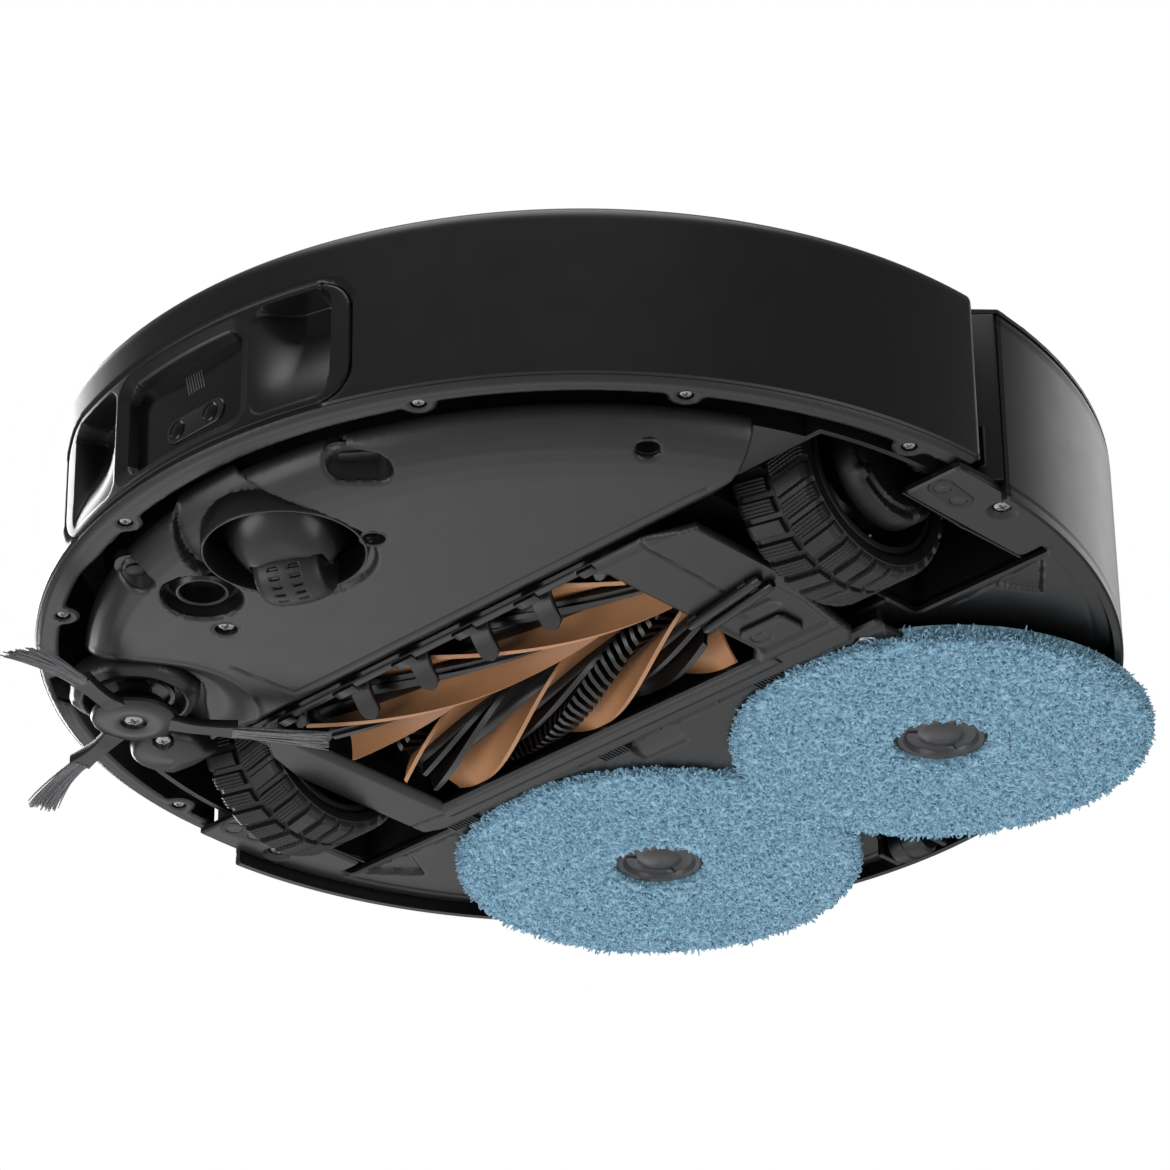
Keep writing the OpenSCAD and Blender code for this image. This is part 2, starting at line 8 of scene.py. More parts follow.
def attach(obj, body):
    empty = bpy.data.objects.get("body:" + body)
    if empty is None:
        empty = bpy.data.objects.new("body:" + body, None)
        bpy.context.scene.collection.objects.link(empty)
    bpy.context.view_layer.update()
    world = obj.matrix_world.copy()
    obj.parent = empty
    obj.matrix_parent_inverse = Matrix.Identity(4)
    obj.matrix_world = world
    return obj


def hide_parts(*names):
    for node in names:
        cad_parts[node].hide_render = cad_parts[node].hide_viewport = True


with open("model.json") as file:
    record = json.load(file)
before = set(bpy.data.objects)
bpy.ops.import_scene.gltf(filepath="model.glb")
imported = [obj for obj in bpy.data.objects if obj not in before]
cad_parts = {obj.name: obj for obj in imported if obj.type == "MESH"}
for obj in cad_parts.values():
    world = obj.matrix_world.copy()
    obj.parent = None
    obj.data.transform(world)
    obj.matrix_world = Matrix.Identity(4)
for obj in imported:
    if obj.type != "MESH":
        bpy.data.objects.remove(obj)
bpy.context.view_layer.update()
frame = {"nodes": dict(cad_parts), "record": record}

MM = 0.001
RNG = np.random.default_rng(7)
# shared places in mm: front is -Y and the floor is z = 0
BODY_R = 175.0
BUMPER_Y, SHELL_Y = -1.5, 1.5
HUB, PIVOT = (-106.4, -97.7), (-128.0, -64.0)
PAD = (64.0, 105.0)
CASTER = (0.0, -130.0)
CASTER_ROLL_Y, CASTER_ROLL_Z = 9.0, 12.0
WHEEL_X, WHEEL_Y, WHEEL_Z = 121.0, -9.0, 35.0
ARM_Y, ARM_Z = 38.0, 54.0
TURRET = (0.0, 72.0)
KEY_X, KEY_Y = 14.0, -106.0
MID_SCREW, WING_SCREW = (88.0, 41.0), (164.0, 18.2)


# ---------------------------------------------------------------- camera, light and floor
def aim(azimuth, elevation, roll, target, distance, lens):
    a, e, t = (math.radians(v) for v in (azimuth, elevation, roll))
    back = Vector((math.sin(a) * math.cos(e), -math.cos(a) * math.cos(e), math.sin(e)))
    right = (-back).cross(Vector((0, 0, 1))).normalized()
    up = right.cross(-back)
    x = right * math.cos(t) + up * math.sin(t)
    y = up * math.cos(t) - right * math.sin(t)
    data = bpy.data.cameras.new("camera")
    data.lens, data.sensor_width, data.clip_end = lens, 36.0, 50.0
    cam = bpy.data.objects.new("camera", data)
    rot = Matrix((x, y, back)).transposed().to_4x4()
    cam.matrix_world = Matrix.Translation(Vector(target) * MM + back * distance * MM) @ rot
    bpy.context.scene.collection.objects.link(cam)
    bpy.context.scene.camera = cam


aim(43.881, -29.809, -0.733, (37.756, -35.991, 23.0), 1579.85, 153.846)


def area_light(name, spot, toward, size, power):
    data = bpy.data.lights.new(name, "AREA")
    data.shape, data.size, data.size_y = "RECTANGLE", size[0], size[1]
    data.energy = power
    lamp = bpy.data.objects.new(name, data)
    lamp.location = spot
    lamp.rotation_mode = "QUATERNION"
    lamp.rotation_quaternion = (Vector(toward) - Vector(spot)).to_track_quat("-Z", "Y")
    bpy.context.scene.collection.objects.link(lamp)


area_light("left_wall", (-1.75, 0.35, 0.75), (0, 0, 0.05), (0.9, 1.3), 46)
area_light("back_wall", (0.15, 1.85, 0.85), (0, 0, 0.05), (1.3, 0.9), 6)
area_light("low_back", (-1.45, 0.75, -0.72), (0, 0, 0.02), (0.9, 0.5), 1.4)
area_light("low_front", (-0.55, -1.25, -0.7), (0, 0, 0.02), (1.0, 0.7), 7)
area_light("low_right", (1.1, 0.2, -0.8), (0, 0.02, 0.02), (0.8, 0.8), 4)
area_light("top_soft", (0.2, -0.4, 1.7), (0, 0, 0.05), (1.6, 1.6), 20)

world = bpy.data.worlds.new("studio")
bpy.context.scene.world = world
world.use_nodes = True
wn, wl = world.node_tree.nodes, world.node_tree.links
wn.clear()
w_out = wn.new("ShaderNodeOutputWorld")
w_mix = wn.new("ShaderNodeMixShader")
w_path = wn.new("ShaderNodeLightPath")
w_seen = wn.new("ShaderNodeBackground")
w_fill = wn.new("ShaderNodeBackground")
w_seen.inputs["Color"].default_value = (1, 1, 1, 1)
w_seen.inputs["Strength"].default_value = 1.0
w_fill.inputs["Color"].default_value = (0.95, 0.97, 1, 1)
w_fill.inputs["Strength"].default_value = 0.2
wl.new(w_path.outputs["Is Camera Ray"], w_mix.inputs[0])
wl.new(w_fill.outputs[0], w_mix.inputs[1])
wl.new(w_seen.outputs[0], w_mix.inputs[2])
wl.new(w_mix.outputs[0], w_out.inputs[0])
bpy.context.scene.view_settings.view_transform = "Standard"


# ---------------------------------------------------------------- materials
def lin(*rgb):
    return tuple((c / 255 / 12.92) if c < 10.3 else ((c / 255 + 0.055) / 1.055) ** 2.4 for c in rgb)


def material(name, color, rough, vary=0.12, vary_scale=90, grain=900, bump=0.06, wear=0.06, metal=0.0,
             coat=0.0, sheen=0.0, second=None, cells=False):
    mat = bpy.data.materials.new(name)
    mat.use_nodes = True
    nodes, links = mat.node_tree.nodes, mat.node_tree.links
    shader = nodes["Principled BSDF"]
    place = nodes.new("ShaderNodeTexCoord")
    cloud = nodes.new("ShaderNodeTexNoise")
    cloud.inputs["Scale"].default_value = vary_scale
    cloud.inputs["Detail"].default_value = 4
    links.new(place.outputs["Object"], cloud.inputs["Vector"])
    ramp = nodes.new("ShaderNodeValToRGB")
    dark = tuple(c * (1 - vary) for c in color)
    light = second or tuple(min(1, c * (1 + vary)) for c in color)
    ramp.color_ramp.elements[0].position, ramp.color_ramp.elements[0].color = 0.3, (*dark, 1)
    ramp.color_ramp.elements[1].position, ramp.color_ramp.elements[1].color = 0.7, (*light, 1)
    links.new(cloud.outputs["Fac"], ramp.inputs["Fac"])
    links.new(ramp.outputs["Color"], shader.inputs["Base Color"])
    if cells:
        fine = nodes.new("ShaderNodeTexVoronoi")
        height = fine.outputs["Distance"]
    else:
        fine = nodes.new("ShaderNodeTexNoise")
        fine.inputs["Detail"].default_value = 3
        height = fine.outputs["Fac"]
    fine.inputs["Scale"].default_value = grain
    links.new(place.outputs["Object"], fine.inputs["Vector"])
    spread = nodes.new("ShaderNodeMapRange")
    spread.inputs["To Min"].default_value = max(0.02, rough - wear)
    spread.inputs["To Max"].default_value = min(1.0, rough + wear)
    links.new(cloud.outputs["Fac"], spread.inputs["Value"])
    links.new(spread.outputs["Result"], shader.inputs["Roughness"])
    relief_node = nodes.new("ShaderNodeBump")
    relief_node.inputs["Strength"].default_value = bump
    relief_node.inputs["Distance"].default_value = 0.0004
    links.new(height, relief_node.inputs["Height"])
    links.new(relief_node.outputs["Normal"], shader.inputs["Normal"])
    shader.inputs["Metallic"].default_value = metal
    shader.inputs["Coat Weight"].default_value = coat
    shader.inputs["Coat Roughness"].default_value = 0.15
    shader.inputs["Sheen Weight"].default_value = sheen
    return mat


M = {
    "shell": material("shell_black", lin(13, 13, 14), 0.36, bump=0.03, grain=2600, wear=0.04),
    "deck": material("deck_black", lin(15, 15, 16), 0.42, bump=0.05, grain=2200),
    "plate": material("plate_grey", lin(18, 18, 18.6), 0.36, bump=0.05, grain=2400, wear=0.05),
    "inner": material("inner_black", lin(7, 7, 7.5), 0.45, bump=0.06, grain=1500),
    "window": material("window_gloss", lin(10, 10, 11), 0.16, bump=0.0, wear=0.03),
    "lens": material("lens_grey", lin(30, 30, 31), 0.2, bump=0.01, wear=0.04, coat=0.4),
    "chrome": material("screw_chrome", lin(150, 150, 154), 0.24, metal=1.0, bump=0.02, wear=0.08),
    "contact": material("contact_metal", lin(190, 182, 160), 0.3, metal=1.0, bump=0.03, wear=0.1),
    "tyre": material("tyre_rubber", lin(8, 8, 8.5), 0.5, bump=0.15, grain=1200, wear=0.1),
    "rubber": material("soft_rubber", lin(15, 15, 16), 0.42, bump=0.08, grain=1400),
    "rim": material("rim_plastic", lin(16, 16, 17), 0.38, bump=0.05, grain=1800),
    "gloss": material("dome_gloss", lin(9, 9, 10), 0.3, bump=0.01, wear=0.04),
    "pin": material("steel_pin", lin(175, 175, 178), 0.25, metal=1.0, bump=0.03, wear=0.1),
    "copper": material("copper_rubber", lin(172, 122, 84), 0.38, vary=0.06, vary_scale=35, bump=0.04, grain=1800,
                       wear=0.05, second=lin(186, 134, 94)),
    "bristle": material("bristle_grey", lin(104, 104, 106), 0.45, vary=0.25, vary_scale=700, bump=0.1),
    "blue": material("mop_blue", lin(90, 138, 164), 0.9, vary_scale=620, second=lin(168, 214, 236), bump=0.5,
                     grain=1500, sheen=0.5, cells=True, wear=0.05),
    "cap": material("cap_grey", lin(54, 54, 56), 0.3, bump=0.03, grain=1600, wear=0.05),
    "battery": material("battery_wrap", lin(36, 52, 56), 0.35),
    "board": material("board_green", lin(16, 70, 40), 0.35, vary_scale=300),
    "motor": material("motor_grey", lin(110, 110, 113), 0.35, metal=0.3),
    "tank": material("tank_grey", lin(64, 66, 70), 0.22, bump=0.02, wear=0.05),
    "filter": material("filter_white", lin(222, 222, 216), 0.9, bump=0.3, grain=1000, sheen=0.2),
}
SLOTS = {"shell": "black_shell", "deck": "deck_black", "plate": "grey_plate", "inner": "inner_black",
         "window": "gloss_window", "lens": "lens_grey", "chrome": "chrome_screw", "contact": "contact_metal",
         "tyre": "tyre_rubber", "rubber": "soft_rubber", "rim": "rim_plastic", "gloss": "inner_black",
         "pin": "steel_pin", "copper": "copper_rubber", "bristle": "bristle_grey", "blue": "mop_blue",
         "cap": "disc_grey", "battery": "battery_wrap", "board": "board_green", "motor": "motor_grey",
         "tank": "tank_grey", "filter": "filter_white"}
BY_SLOT = {slot: key for key, slot in SLOTS.items() if key != "gloss"}


# ---------------------------------------------------------------- mesh tools (all lengths in mm)
def rings_to_faces(count, sides, flip=False, loop=False):
    """Quads between rings of points; loop joins the last ring back to the first."""
    i, j = np.meshgrid(np.arange(count if loop else count - 1), np.arange(sides), indexing="ij")
    k, up = (j + 1) % sides, (i + 1) % count
    quads = np.stack([i * sides + j, i * sides + k, up * sides + k, up * sides + j], -1).reshape(-1, 4)
    return quads[:, ::-1] if flip else quads


def swept_faces(count, sides, flip=False):
    """Quads between rings of points, and a flat face on each end."""
    faces = rings_to_faces(count, sides).tolist()
    faces += [list(range(sides))[::-1], list(range((count - 1) * sides, count * sides))]
    return [f[::-1] for f in faces] if flip else faces


class Build:
    """Gathers parts of one piece: vertices in mm, faces and the material of each face."""

    def __init__(self):
        self.verts, self.faces, self.mats, self.count = [], [], [], 0

    def add(self, verts, faces, mat=0, place=None):
        verts = np.asarray(verts, float).reshape(-1, 3)
        if place is not None:
            m = np.array(place)
            verts = verts @ m[:3, :3].T + m[:3, 3]
            if np.linalg.det(m[:3, :3]) < 0:
                faces = [list(f)[::-1] for f in faces]
        self.verts.append(verts)
        self.faces += [[int(k) + self.count for k in f] for f in faces]
        self.mats += [mat] * len(faces)
        self.count += len(verts)

    def piece(self, name, body, mats, replaces=(), angle=35, slot=None):
        mesh = bpy.data.meshes.new(name)
        mesh.from_pydata((np.concatenate(self.verts) * MM).tolist(), [], self.faces)
        for key in mats:
            mesh.materials.append(M[key])
        mesh.polygons.foreach_set("material_index", np.array(self.mats, np.int32))
        mesh.polygons.foreach_set("use_smooth", np.ones(len(mesh.polygons), bool))
        mesh.validate()
        mesh.set_sharp_from_angle(angle=math.radians(angle))
        obj = bpy.data.objects.new(name, mesh)
        bpy.context.scene.collection.objects.link(obj)
        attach(obj, body)
        if replaces:
            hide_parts(*replaces)
        return obj


def move(x=0, y=0, z=0, turn=0, axis="Z", size=(1, 1, 1)):
    return Matrix.Translation((x, y, z)) @ Matrix.Rotation(math.radians(turn), 4, axis) @ Matrix.Diagonal((*size, 1))


def disc_sdf(x, y, cx, cy, r):
    return np.hypot(x - cx, y - cy) - r


def box_sdf(x, y, x0, x1, y0, y1, r=0.0):
    dx = np.abs(x - (x0 + x1) / 2) - (x1 - x0) / 2 + r
    dy = np.abs(y - (y0 + y1) / 2) - (y1 - y0) / 2 + r
    return np.hypot(np.maximum(dx, 0), np.maximum(dy, 0)) + np.minimum(np.maximum(dx, dy), 0) - r


def capsule_sdf(x, y, ax, ay, bx, by, r):
    dx, dy = bx - ax, by - ay
    t = np.clip(((x - ax) * dx + (y - ay) * dy) / (dx * dx + dy * dy), 0, 1)
    return np.hypot(x - ax - t * dx, y - ay - t * dy) - r


def poly_sdf(x, y, pts, r=0.0):
    """Signed distance to a polygon, with its corners rounded outwards by r."""
    best, odd = np.full(np.shape(x), 1e9), np.zeros(np.shape(x), bool)
    for (ax, ay), (bx, by) in zip(pts, pts[1:] + pts[:1]):
        best = np.minimum(best, capsule_sdf(x, y, ax, ay, bx, by, 0))
        cross = (ay > y) != (by > y)
        with np.errstate(divide="ignore", invalid="ignore"):
            at = (bx - ax) * (y - ay) / ((by - ay) or 1e-9) + ax
        odd ^= cross & (x < at)
    return np.where(odd, -best, best) - r


def smooth_max(a, b, k):
    return np.maximum(a, b) + np.maximum(k - np.abs(a - b), 0) ** 2 / (4 * k)


def smooth_min(a, b, k):
    return -smooth_max(-a, -b, k)


def ease(t):
    t = np.clip(t, 0, 1)
    return t * t * (3 - 2 * t)


def crease(d, depth, width):
    """A shallow line at d = 0."""
    return depth * np.exp(-(d / width) ** 2)


def rounding(s, r):
    """How far a face drops within r of the edge, for a quarter-circle edge."""
    d = np.clip(-s, 0, r)
    return r - np.sqrt(np.maximum(r * r - (r - d) ** 2, 0))


def relief(build, us, vs, sdf, front, back, mat=0, flip=False, place=None):
    """A closed sheet over the cells where sdf < 0, with its border pulled onto sdf = 0."""
    u, v = np.meshgrid(us, vs, indexing="ij")
    s = sdf(u, v)
    keep = s[:-1, :-1] + s[1:, :-1] + s[1:, 1:] + s[:-1, 1:] < 0
    pad = np.pad(keep, 1).astype(int)
    count = pad[:-1, :-1] + pad[1:, :-1] + pad[1:, 1:] + pad[:-1, 1:]
    rim, used = (count > 0) & (count < 4), count > 0
    gu, gv = np.gradient(s, us, vs)
    g2 = np.maximum(gu ** 2 + gv ** 2, 0.05)
    limit = max(us[1] - us[0], vs[1] - vs[0])
    pull = np.clip(s / np.sqrt(g2), -limit, limit) / np.sqrt(g2)
    u = np.where(rim, u - pull * gu, u)
    v = np.where(rim, v - pull * gv, v)
    index = np.full(s.shape, -1)
    n = int(used.sum())
    index[used] = np.arange(n)
    uu, vv = u[used], v[used]
    verts = np.concatenate([np.stack(front(uu, vv), 1), np.stack(back(uu, vv), 1)])
    i, j = np.nonzero(keep)
    a, b, c, d = index[i, j], index[i + 1, j], index[i + 1, j + 1], index[i, j + 1]
    faces = [np.stack([a, b, c, d], 1), np.stack([d, c, b, a], 1) + n]
    kp = np.pad(keep, 1)
    for p, q, di, dj in ((a, b, 0, -1), (b, c, 1, 0), (c, d, 0, 1), (d, a, -1, 0)):
        open_side = ~kp[i + 1 + di, j + 1 + dj]
        p2, q2 = p[open_side], q[open_side]
        faces.append(np.stack([q2, p2, p2 + n, q2 + n], 1))
    faces = np.concatenate(faces)
    build.add(verts, faces[:, ::-1] if flip else faces, mat, place)


def plate_relief(build, x0, x1, y0, y1, step, sdf, low, top, mat=0, edge=0.8, place=None):
    """A plate seen from below: low(x, y) is its lower face and top(x, y) its upper face."""
    def front(x, y):
        return x, y, low(x, y) + rounding(sdf(x, y), edge)

    def back(x, y):
        return x, y, top(x, y) if callable(top) else np.full_like(x, top)
    relief(build, np.arange(x0, x1 + step, step), np.arange(y0, y1 + step, step), sdf, front, back, mat, True, place)


def lathe(build, profile, n=96, mat=0, place=None):
    """Turns a closed (r, z) outline about Z."""
    r, z = np.array(profile, float).T
    angles = np.radians(np.linspace(0, 360, n, endpoint=False))
    verts = np.stack([np.outer(np.cos(angles), r), np.outer(np.sin(angles), r), np.tile(z, (n, 1))], -1)
    flip = np.sum(r * np.roll(z, -1) - np.roll(r, -1) * z) > 0
    build.add(verts, rings_to_faces(n, len(profile), flip, True).tolist(), mat, place)


def outline_box(x0, x1, y0, y1, r, n=6):
    pts = []
    for cx, cy, a0 in ((x1 - r, y1 - r, 0), (x0 + r, y1 - r, 90), (x0 + r, y0 + r, 180), (x1 - r, y0 + r, 270)):
        for k in range(n + 1):
            a = math.radians(a0 + 90 * k / n)
            pts.append((cx + r * math.cos(a), cy + r * math.sin(a)))
    return pts


def outline_disc(r, n=48, cx=0.0, cy=0.0):
    return [(cx + r * math.cos(2 * math.pi * k / n), cy + r * math.sin(2 * math.pi * k / n)) for k in range(n)]


def round_corners(pts, r, n=5):
    """Rounds each corner of a polygon; r may be a list."""
    out, m = [], len(pts)
    for k in range(m):
        p0, p, p1 = (Vector(pts[(k + d) % m]) for d in (-1, 0, 1))
        rr = r[k] if isinstance(r, (list, tuple)) else r
        a, b = (p0 - p).normalized(), (p1 - p).normalized()
        ang = a.angle(b)
        if rr <= 0 or ang > math.pi - 0.02:
            out.append(tuple(p))
            continue
        cut = min(rr / math.tan(ang / 2), (p0 - p).length * 0.49, (p1 - p).length * 0.49)
        for i in range(n + 1):
            t = i / n
            q = (p + a * cut) * (1 - t) ** 2 + p * 2 * t * (1 - t) + (p + b * cut) * t * t
            out.append(tuple(q))
    return out


def inset(pts, d):
    p = np.array(pts, float)
    e = np.roll(p, -1, 0) - p
    e /= np.maximum(np.linalg.norm(e, axis=1, keepdims=True), 1e-9)
    nrm = np.stack([-e[:, 1], e[:, 0]], 1)
    area = np.sum(p[:, 0] * np.roll(p[:, 1], -1) - np.roll(p[:, 0], -1) * p[:, 1])
    if area < 0:
        nrm = -nrm
    m = nrm + np.roll(nrm, 1, 0)
    m /= np.maximum(np.sum(m * nrm, 1, keepdims=True), 0.3)
    return p + m * d


def prism(build, pts, z0, z1, r0=0.3, r1=0.3, mat=0, place=None):
    """An extruded outline with rounded edges."""
    pts = np.array(pts, float)
    if np.sum(pts[:, 0] * np.roll(pts[:, 1], -1) - np.roll(pts[:, 0], -1) * pts[:, 1]) < 0:
        pts = pts[::-1]
    right = math.pi / 2
    rows = [(z0, 0.0)]
    if r0:
        rows = [(z0 + r0 - r0 * math.cos(t), r0 - r0 * math.sin(t)) for t in np.linspace(0, right, 4)]
    if r1:
        rows += [(z1 - r1 + r1 * math.cos(t), r1 - r1 * math.sin(t)) for t in np.linspace(right, 0, 4)]
    else:
        rows.append((z1, 0.0))
    verts = [np.column_stack([inset(pts, d), np.full(len(pts), z)]) for z, d in rows]
    build.add(np.concatenate(verts), swept_faces(len(rows), len(pts)), mat, place)


def tube(build, path, radius, sides=8, mat=0, place=None):
    """A swept round bar; radius may be a list."""
    path = np.array(path, float)
    radius = np.full(len(path), radius) if np.isscalar(radius) else np.array(radius, float)
    tangent = np.gradient(path, axis=0)
    tangent /= np.linalg.norm(tangent, axis=1, keepdims=True)
    ref = np.array([0, 0, 1.0]) if abs(tangent[0][2]) < 0.9 else np.array([1.0, 0, 0])
    ang = np.linspace(0, 2 * math.pi, sides, endpoint=False)
    verts = []
    for centre, r, along in zip(path, radius, tangent):
        side = np.cross(ref, along)
        side /= np.linalg.norm(side)
        up = np.cross(along, side)
        verts.append(centre + r * (np.outer(np.cos(ang), side) + np.outer(np.sin(ang), up)))
    build.add(np.concatenate(verts), swept_faces(len(path), sides), mat, place)


def cup(build, pts, surface, floor, taper):
    """A recess behind a hole in a plate: sloping walls from the plate's height up to a flat floor."""
    inner, outer = inset(pts, -0.1), inset(pts, -1.0)
    top = [surface(p[:, 0], p[:, 1]) + 1.2 for p in (inner, outer)]
    deep = inset(pts, taper)
    m = len(pts)
    rows = [np.column_stack([deep, np.full(m, floor)]), np.column_stack([inner, top[0]]),
            np.column_stack([outer, top[1]]), np.column_stack([outer, np.full(m, floor + 0.9)])]
    build.add(np.concatenate(rows), swept_faces(4, m, True))


def screw(build, x, y, z, r, mat=0, turn=0):
    """A pan head seen from below, with a cross recess; z is its lowest point."""
    def sdf(u, v):
        return np.hypot(u, v) - r

    def low(u, v):
        dome = (np.hypot(u, v) / r) ** 2 * r * 0.22
        cross = np.minimum(np.maximum(np.abs(u) - r * 0.55, np.abs(v) - r * 0.13),
                           np.maximum(np.abs(v) - r * 0.55, np.abs(u) - r * 0.13))
        return z + dome + r * 0.45 * ease(-cross / (r * 0.14) + 0.3)
    plate_relief(build, -r, r, -r, r, r / 14, sdf, low, z + r * 0.9, mat, r * 0.12, move(x, y, 0, turn))


# ---------------------------------------------------------------- bumper
def around(theta, r, z, cy=BUMPER_Y):
    """A point at angle theta (radians from the front towards +X) on radius r."""
    return r * np.sin(theta), cy - r * np.cos(theta), z


SHELL_PROFILE = [(BODY_R, 24.0), (BODY_R, 79.5)]
SHELL_PROFILE += [(169.5 + 5.5 * math.cos(a), 79.5 + 5.5 * math.sin(a)) for a in np.linspace(0, math.pi / 2, 10)[1:]]
SHELL_PROFILE += [(166.0, 85.0), (165.2, 84.4), (165.0, 83.4)]
prof = np.array(SHELL_PROFILE)
prof_len = np.concatenate([[0], np.cumsum(np.hypot(*np.diff(prof, axis=0).T))])
prof_t = np.gradient(prof, prof_len, axis=0)
prof_n = np.stack([prof_t[:, 1], -prof_t[:, 0]], 1)
prof_n /= np.linalg.norm(prof_n, axis=1, keepdims=True)


def shell_point(u, t, depth):
    rz = np.stack([np.interp(t, prof_len, prof[:, k]) for k in (0, 1)], -1)
    nn = np.stack([np.interp(t, prof_len, prof_n[:, k]) for k in (0, 1)], -1)
    rz = rz - nn * depth[..., None]
    return around(u / BODY_R, rz[..., 0], rz[..., 1])


INSERT_X = 64.99


def shell_sdf(u, t):
    ends = np.abs(u) - BODY_R * (math.pi / 2 - 0.0145)
    x = BODY_R * np.sin(u / BODY_R)
    hole = np.where(np.abs(u) < 150, box_sdf(x, t + 24, -INSERT_X, INSERT_X, 25.2, 68.5, 12), 50)
    return np.maximum(np.maximum(ends, -hole), np.maximum(-t, t - prof_len[-1]))


shell = Build()
relief(shell, np.arange(-272.4, 272.5, 1.2), np.arange(0, prof_len[-1] + 0.01, prof_len[-1] / 76), shell_sdf,
       lambda u, t: shell_point(u, t, rounding(shell_sdf(u, t), 0.9)),
       lambda u, t: shell_point(u, t, np.full_like(u, 2.8)))
shell.piece("bumper_wall", "bumper", ["shell"], ["bumper_shell"], 40)


def insert_depth(x, z):
    """How far the insert's face lies behind the bumper's outer cylinder."""
    depth = np.zeros_like(x)
    for s in (-1, 1):
        scoop = box_sdf(s * x, z, 30.5, 58.5, 27.6, 66.4, 5.5)
        # a steep wall on top and outside, and a floor that swells back to the face below and inside
        floor = 9.6 * ease((z - 27.6) / 34.0)
        swell = ease((s * x - 30.5) / 15.0) ** 0.7
        depth = np.where(scoop < 0, ease(-scoop / 1.0) * np.minimum(floor * swell + 0.3, 10.4), depth)
    frame_in = box_sdf(x, z, -25.9, 25.9, 31.1, 63.4, 5.8)
    frame_out = box_sdf(x, z, -30.2, 30.2, 27.2, 67.2, 8)
    chamfer = np.clip(-frame_out / 4.6, 0, 1) * 2.2
    depth = np.where(frame_out < 0, chamfer, depth)
    back = 174.85 - (167.2 + BUMPER_Y) / np.sqrt(np.maximum(1 - (x / 174.0) ** 2, 0.1))
    return np.where(frame_in < 0, chamfer + (back - chamfer) * ease(-frame_in / 0.8), depth)


def insert_sdf(u, z):
    return box_sdf(BODY_R * np.sin(u / BODY_R), z, -64.7, 64.7, 25.5, 68.2, 11.7)


def insert_face(u, z):
    depth = insert_depth(BODY_R * np.sin(u / BODY_R), z)
    return around(u / BODY_R, 174.85 - depth - rounding(insert_sdf(u, z), 0.7), z)


insert = Build()
relief(insert, np.arange(-66.6, 66.7, 0.45), np.arange(25, 68.9, 0.45), insert_sdf, insert_face,
       lambda u, z: around(u / BODY_R, np.full_like(u, 163.4), z))
insert.piece("bumper_front", "bumper", ["shell"], ["bumper_insert"], 40)

window = Build()
FRONT = Matrix(((1, 0, 0, 0), (0, 0, 1, 0), (0, 1, 0, 0), (0, 0, 0, 1)))
prism(window, outline_box(-25.7, 25.7, 31.2, 63.3, 5.6), -169.2, -166.6, 0.3, 0.1, 0, FRONT)
window.piece("front_window", "bumper", ["window"], ["sensor_window"])

lenses = Build()
pill = outline_box(-11, 15, 37.2, 45.8, 4.3, 10)
prism(lenses, pill, -169.9, -169.0, 0.45, 0, 0, FRONT)
for lx in (-6, 9):
    lathe(lenses, [(0.0, 0.0), (3.3, 0.0), (3.3, 0.5), (2.9, 0.75), (2.4, 0.5), (1.6, 0.85), (0.0, 1.05)], 40, mat=1,
          place=move(lx, -169.7, 41.5, 90, "X"))
for k in range(7):
    a, b = Vector((-1.6 + k * 1.15, 52.6)), Vector((-3.4 + k * 1.15, 59.4))
    prism(lenses, [(a.x, a.y), (a.x + 0.5, a.y), (b.x + 0.5, b.y), (b.x, b.y)], -169.45, -169.1, 0.1, 0, 2, FRONT)
lenses.piece("front_lenses", "bumper", ["lens", "window", "motor"], ["camera_lenses"])

FLANGE_ANGLES = [-81.4, -33.7, -12, 28.1, 55.6, 81.4]
LUGS = [around(math.radians(a), 167.0, 0.0)[:2] for a in FLANGE_ANGLES]


def flange_sdf(x, y):
    r = np.hypot(x, y - BUMPER_Y)
    ang = np.degrees(np.arctan2(x, -(y - BUMPER_Y)))
    inner = 167.2 - 1.8 * ease((ang + 25) / 6) * ease((30 - ang) / 6)
    notch = ease((np.abs(ang + 50.5) - 2.2) / 1.5)
    s = np.maximum(r - 174.4, inner + 4.4 * (1 - notch) - r)
    for cx, cy in LUGS:
        s = smooth_min(s, disc_sdf(x, y, cx, cy, 5.4), 2.0)
    s = np.maximum(s, r - 174.4)
    for cx, cy in LUGS:
        s = np.maximum(s, -disc_sdf(x, y, cx, cy, 2.45))
    return np.maximum(s, y + 5.2)


def flange_low(x, y):
    r = np.hypot(x, y - BUMPER_Y)
    return 22.35 + 0.25 * ease((r - 169.5) / 1.2) + 1.1 * ease((r - 172.2) / 2.2)


flange = Build()
plate_relief(flange, -175, 175, -176.5, -4, 0.75, flange_sdf, flange_low, 23.9, edge=0.5)
flange.piece("bumper_rim", "bumper", ["shell"], ["bumper_flange"], 40)

rim_screws = Build()
for k, (cx, cy) in enumerate(LUGS):
    screw(rim_screws, cx, cy, 22.9, 2.1, turn=17 * k)
rim_screws.piece("rim_screws", "bumper", ["chrome"], ["bumper_screws"])

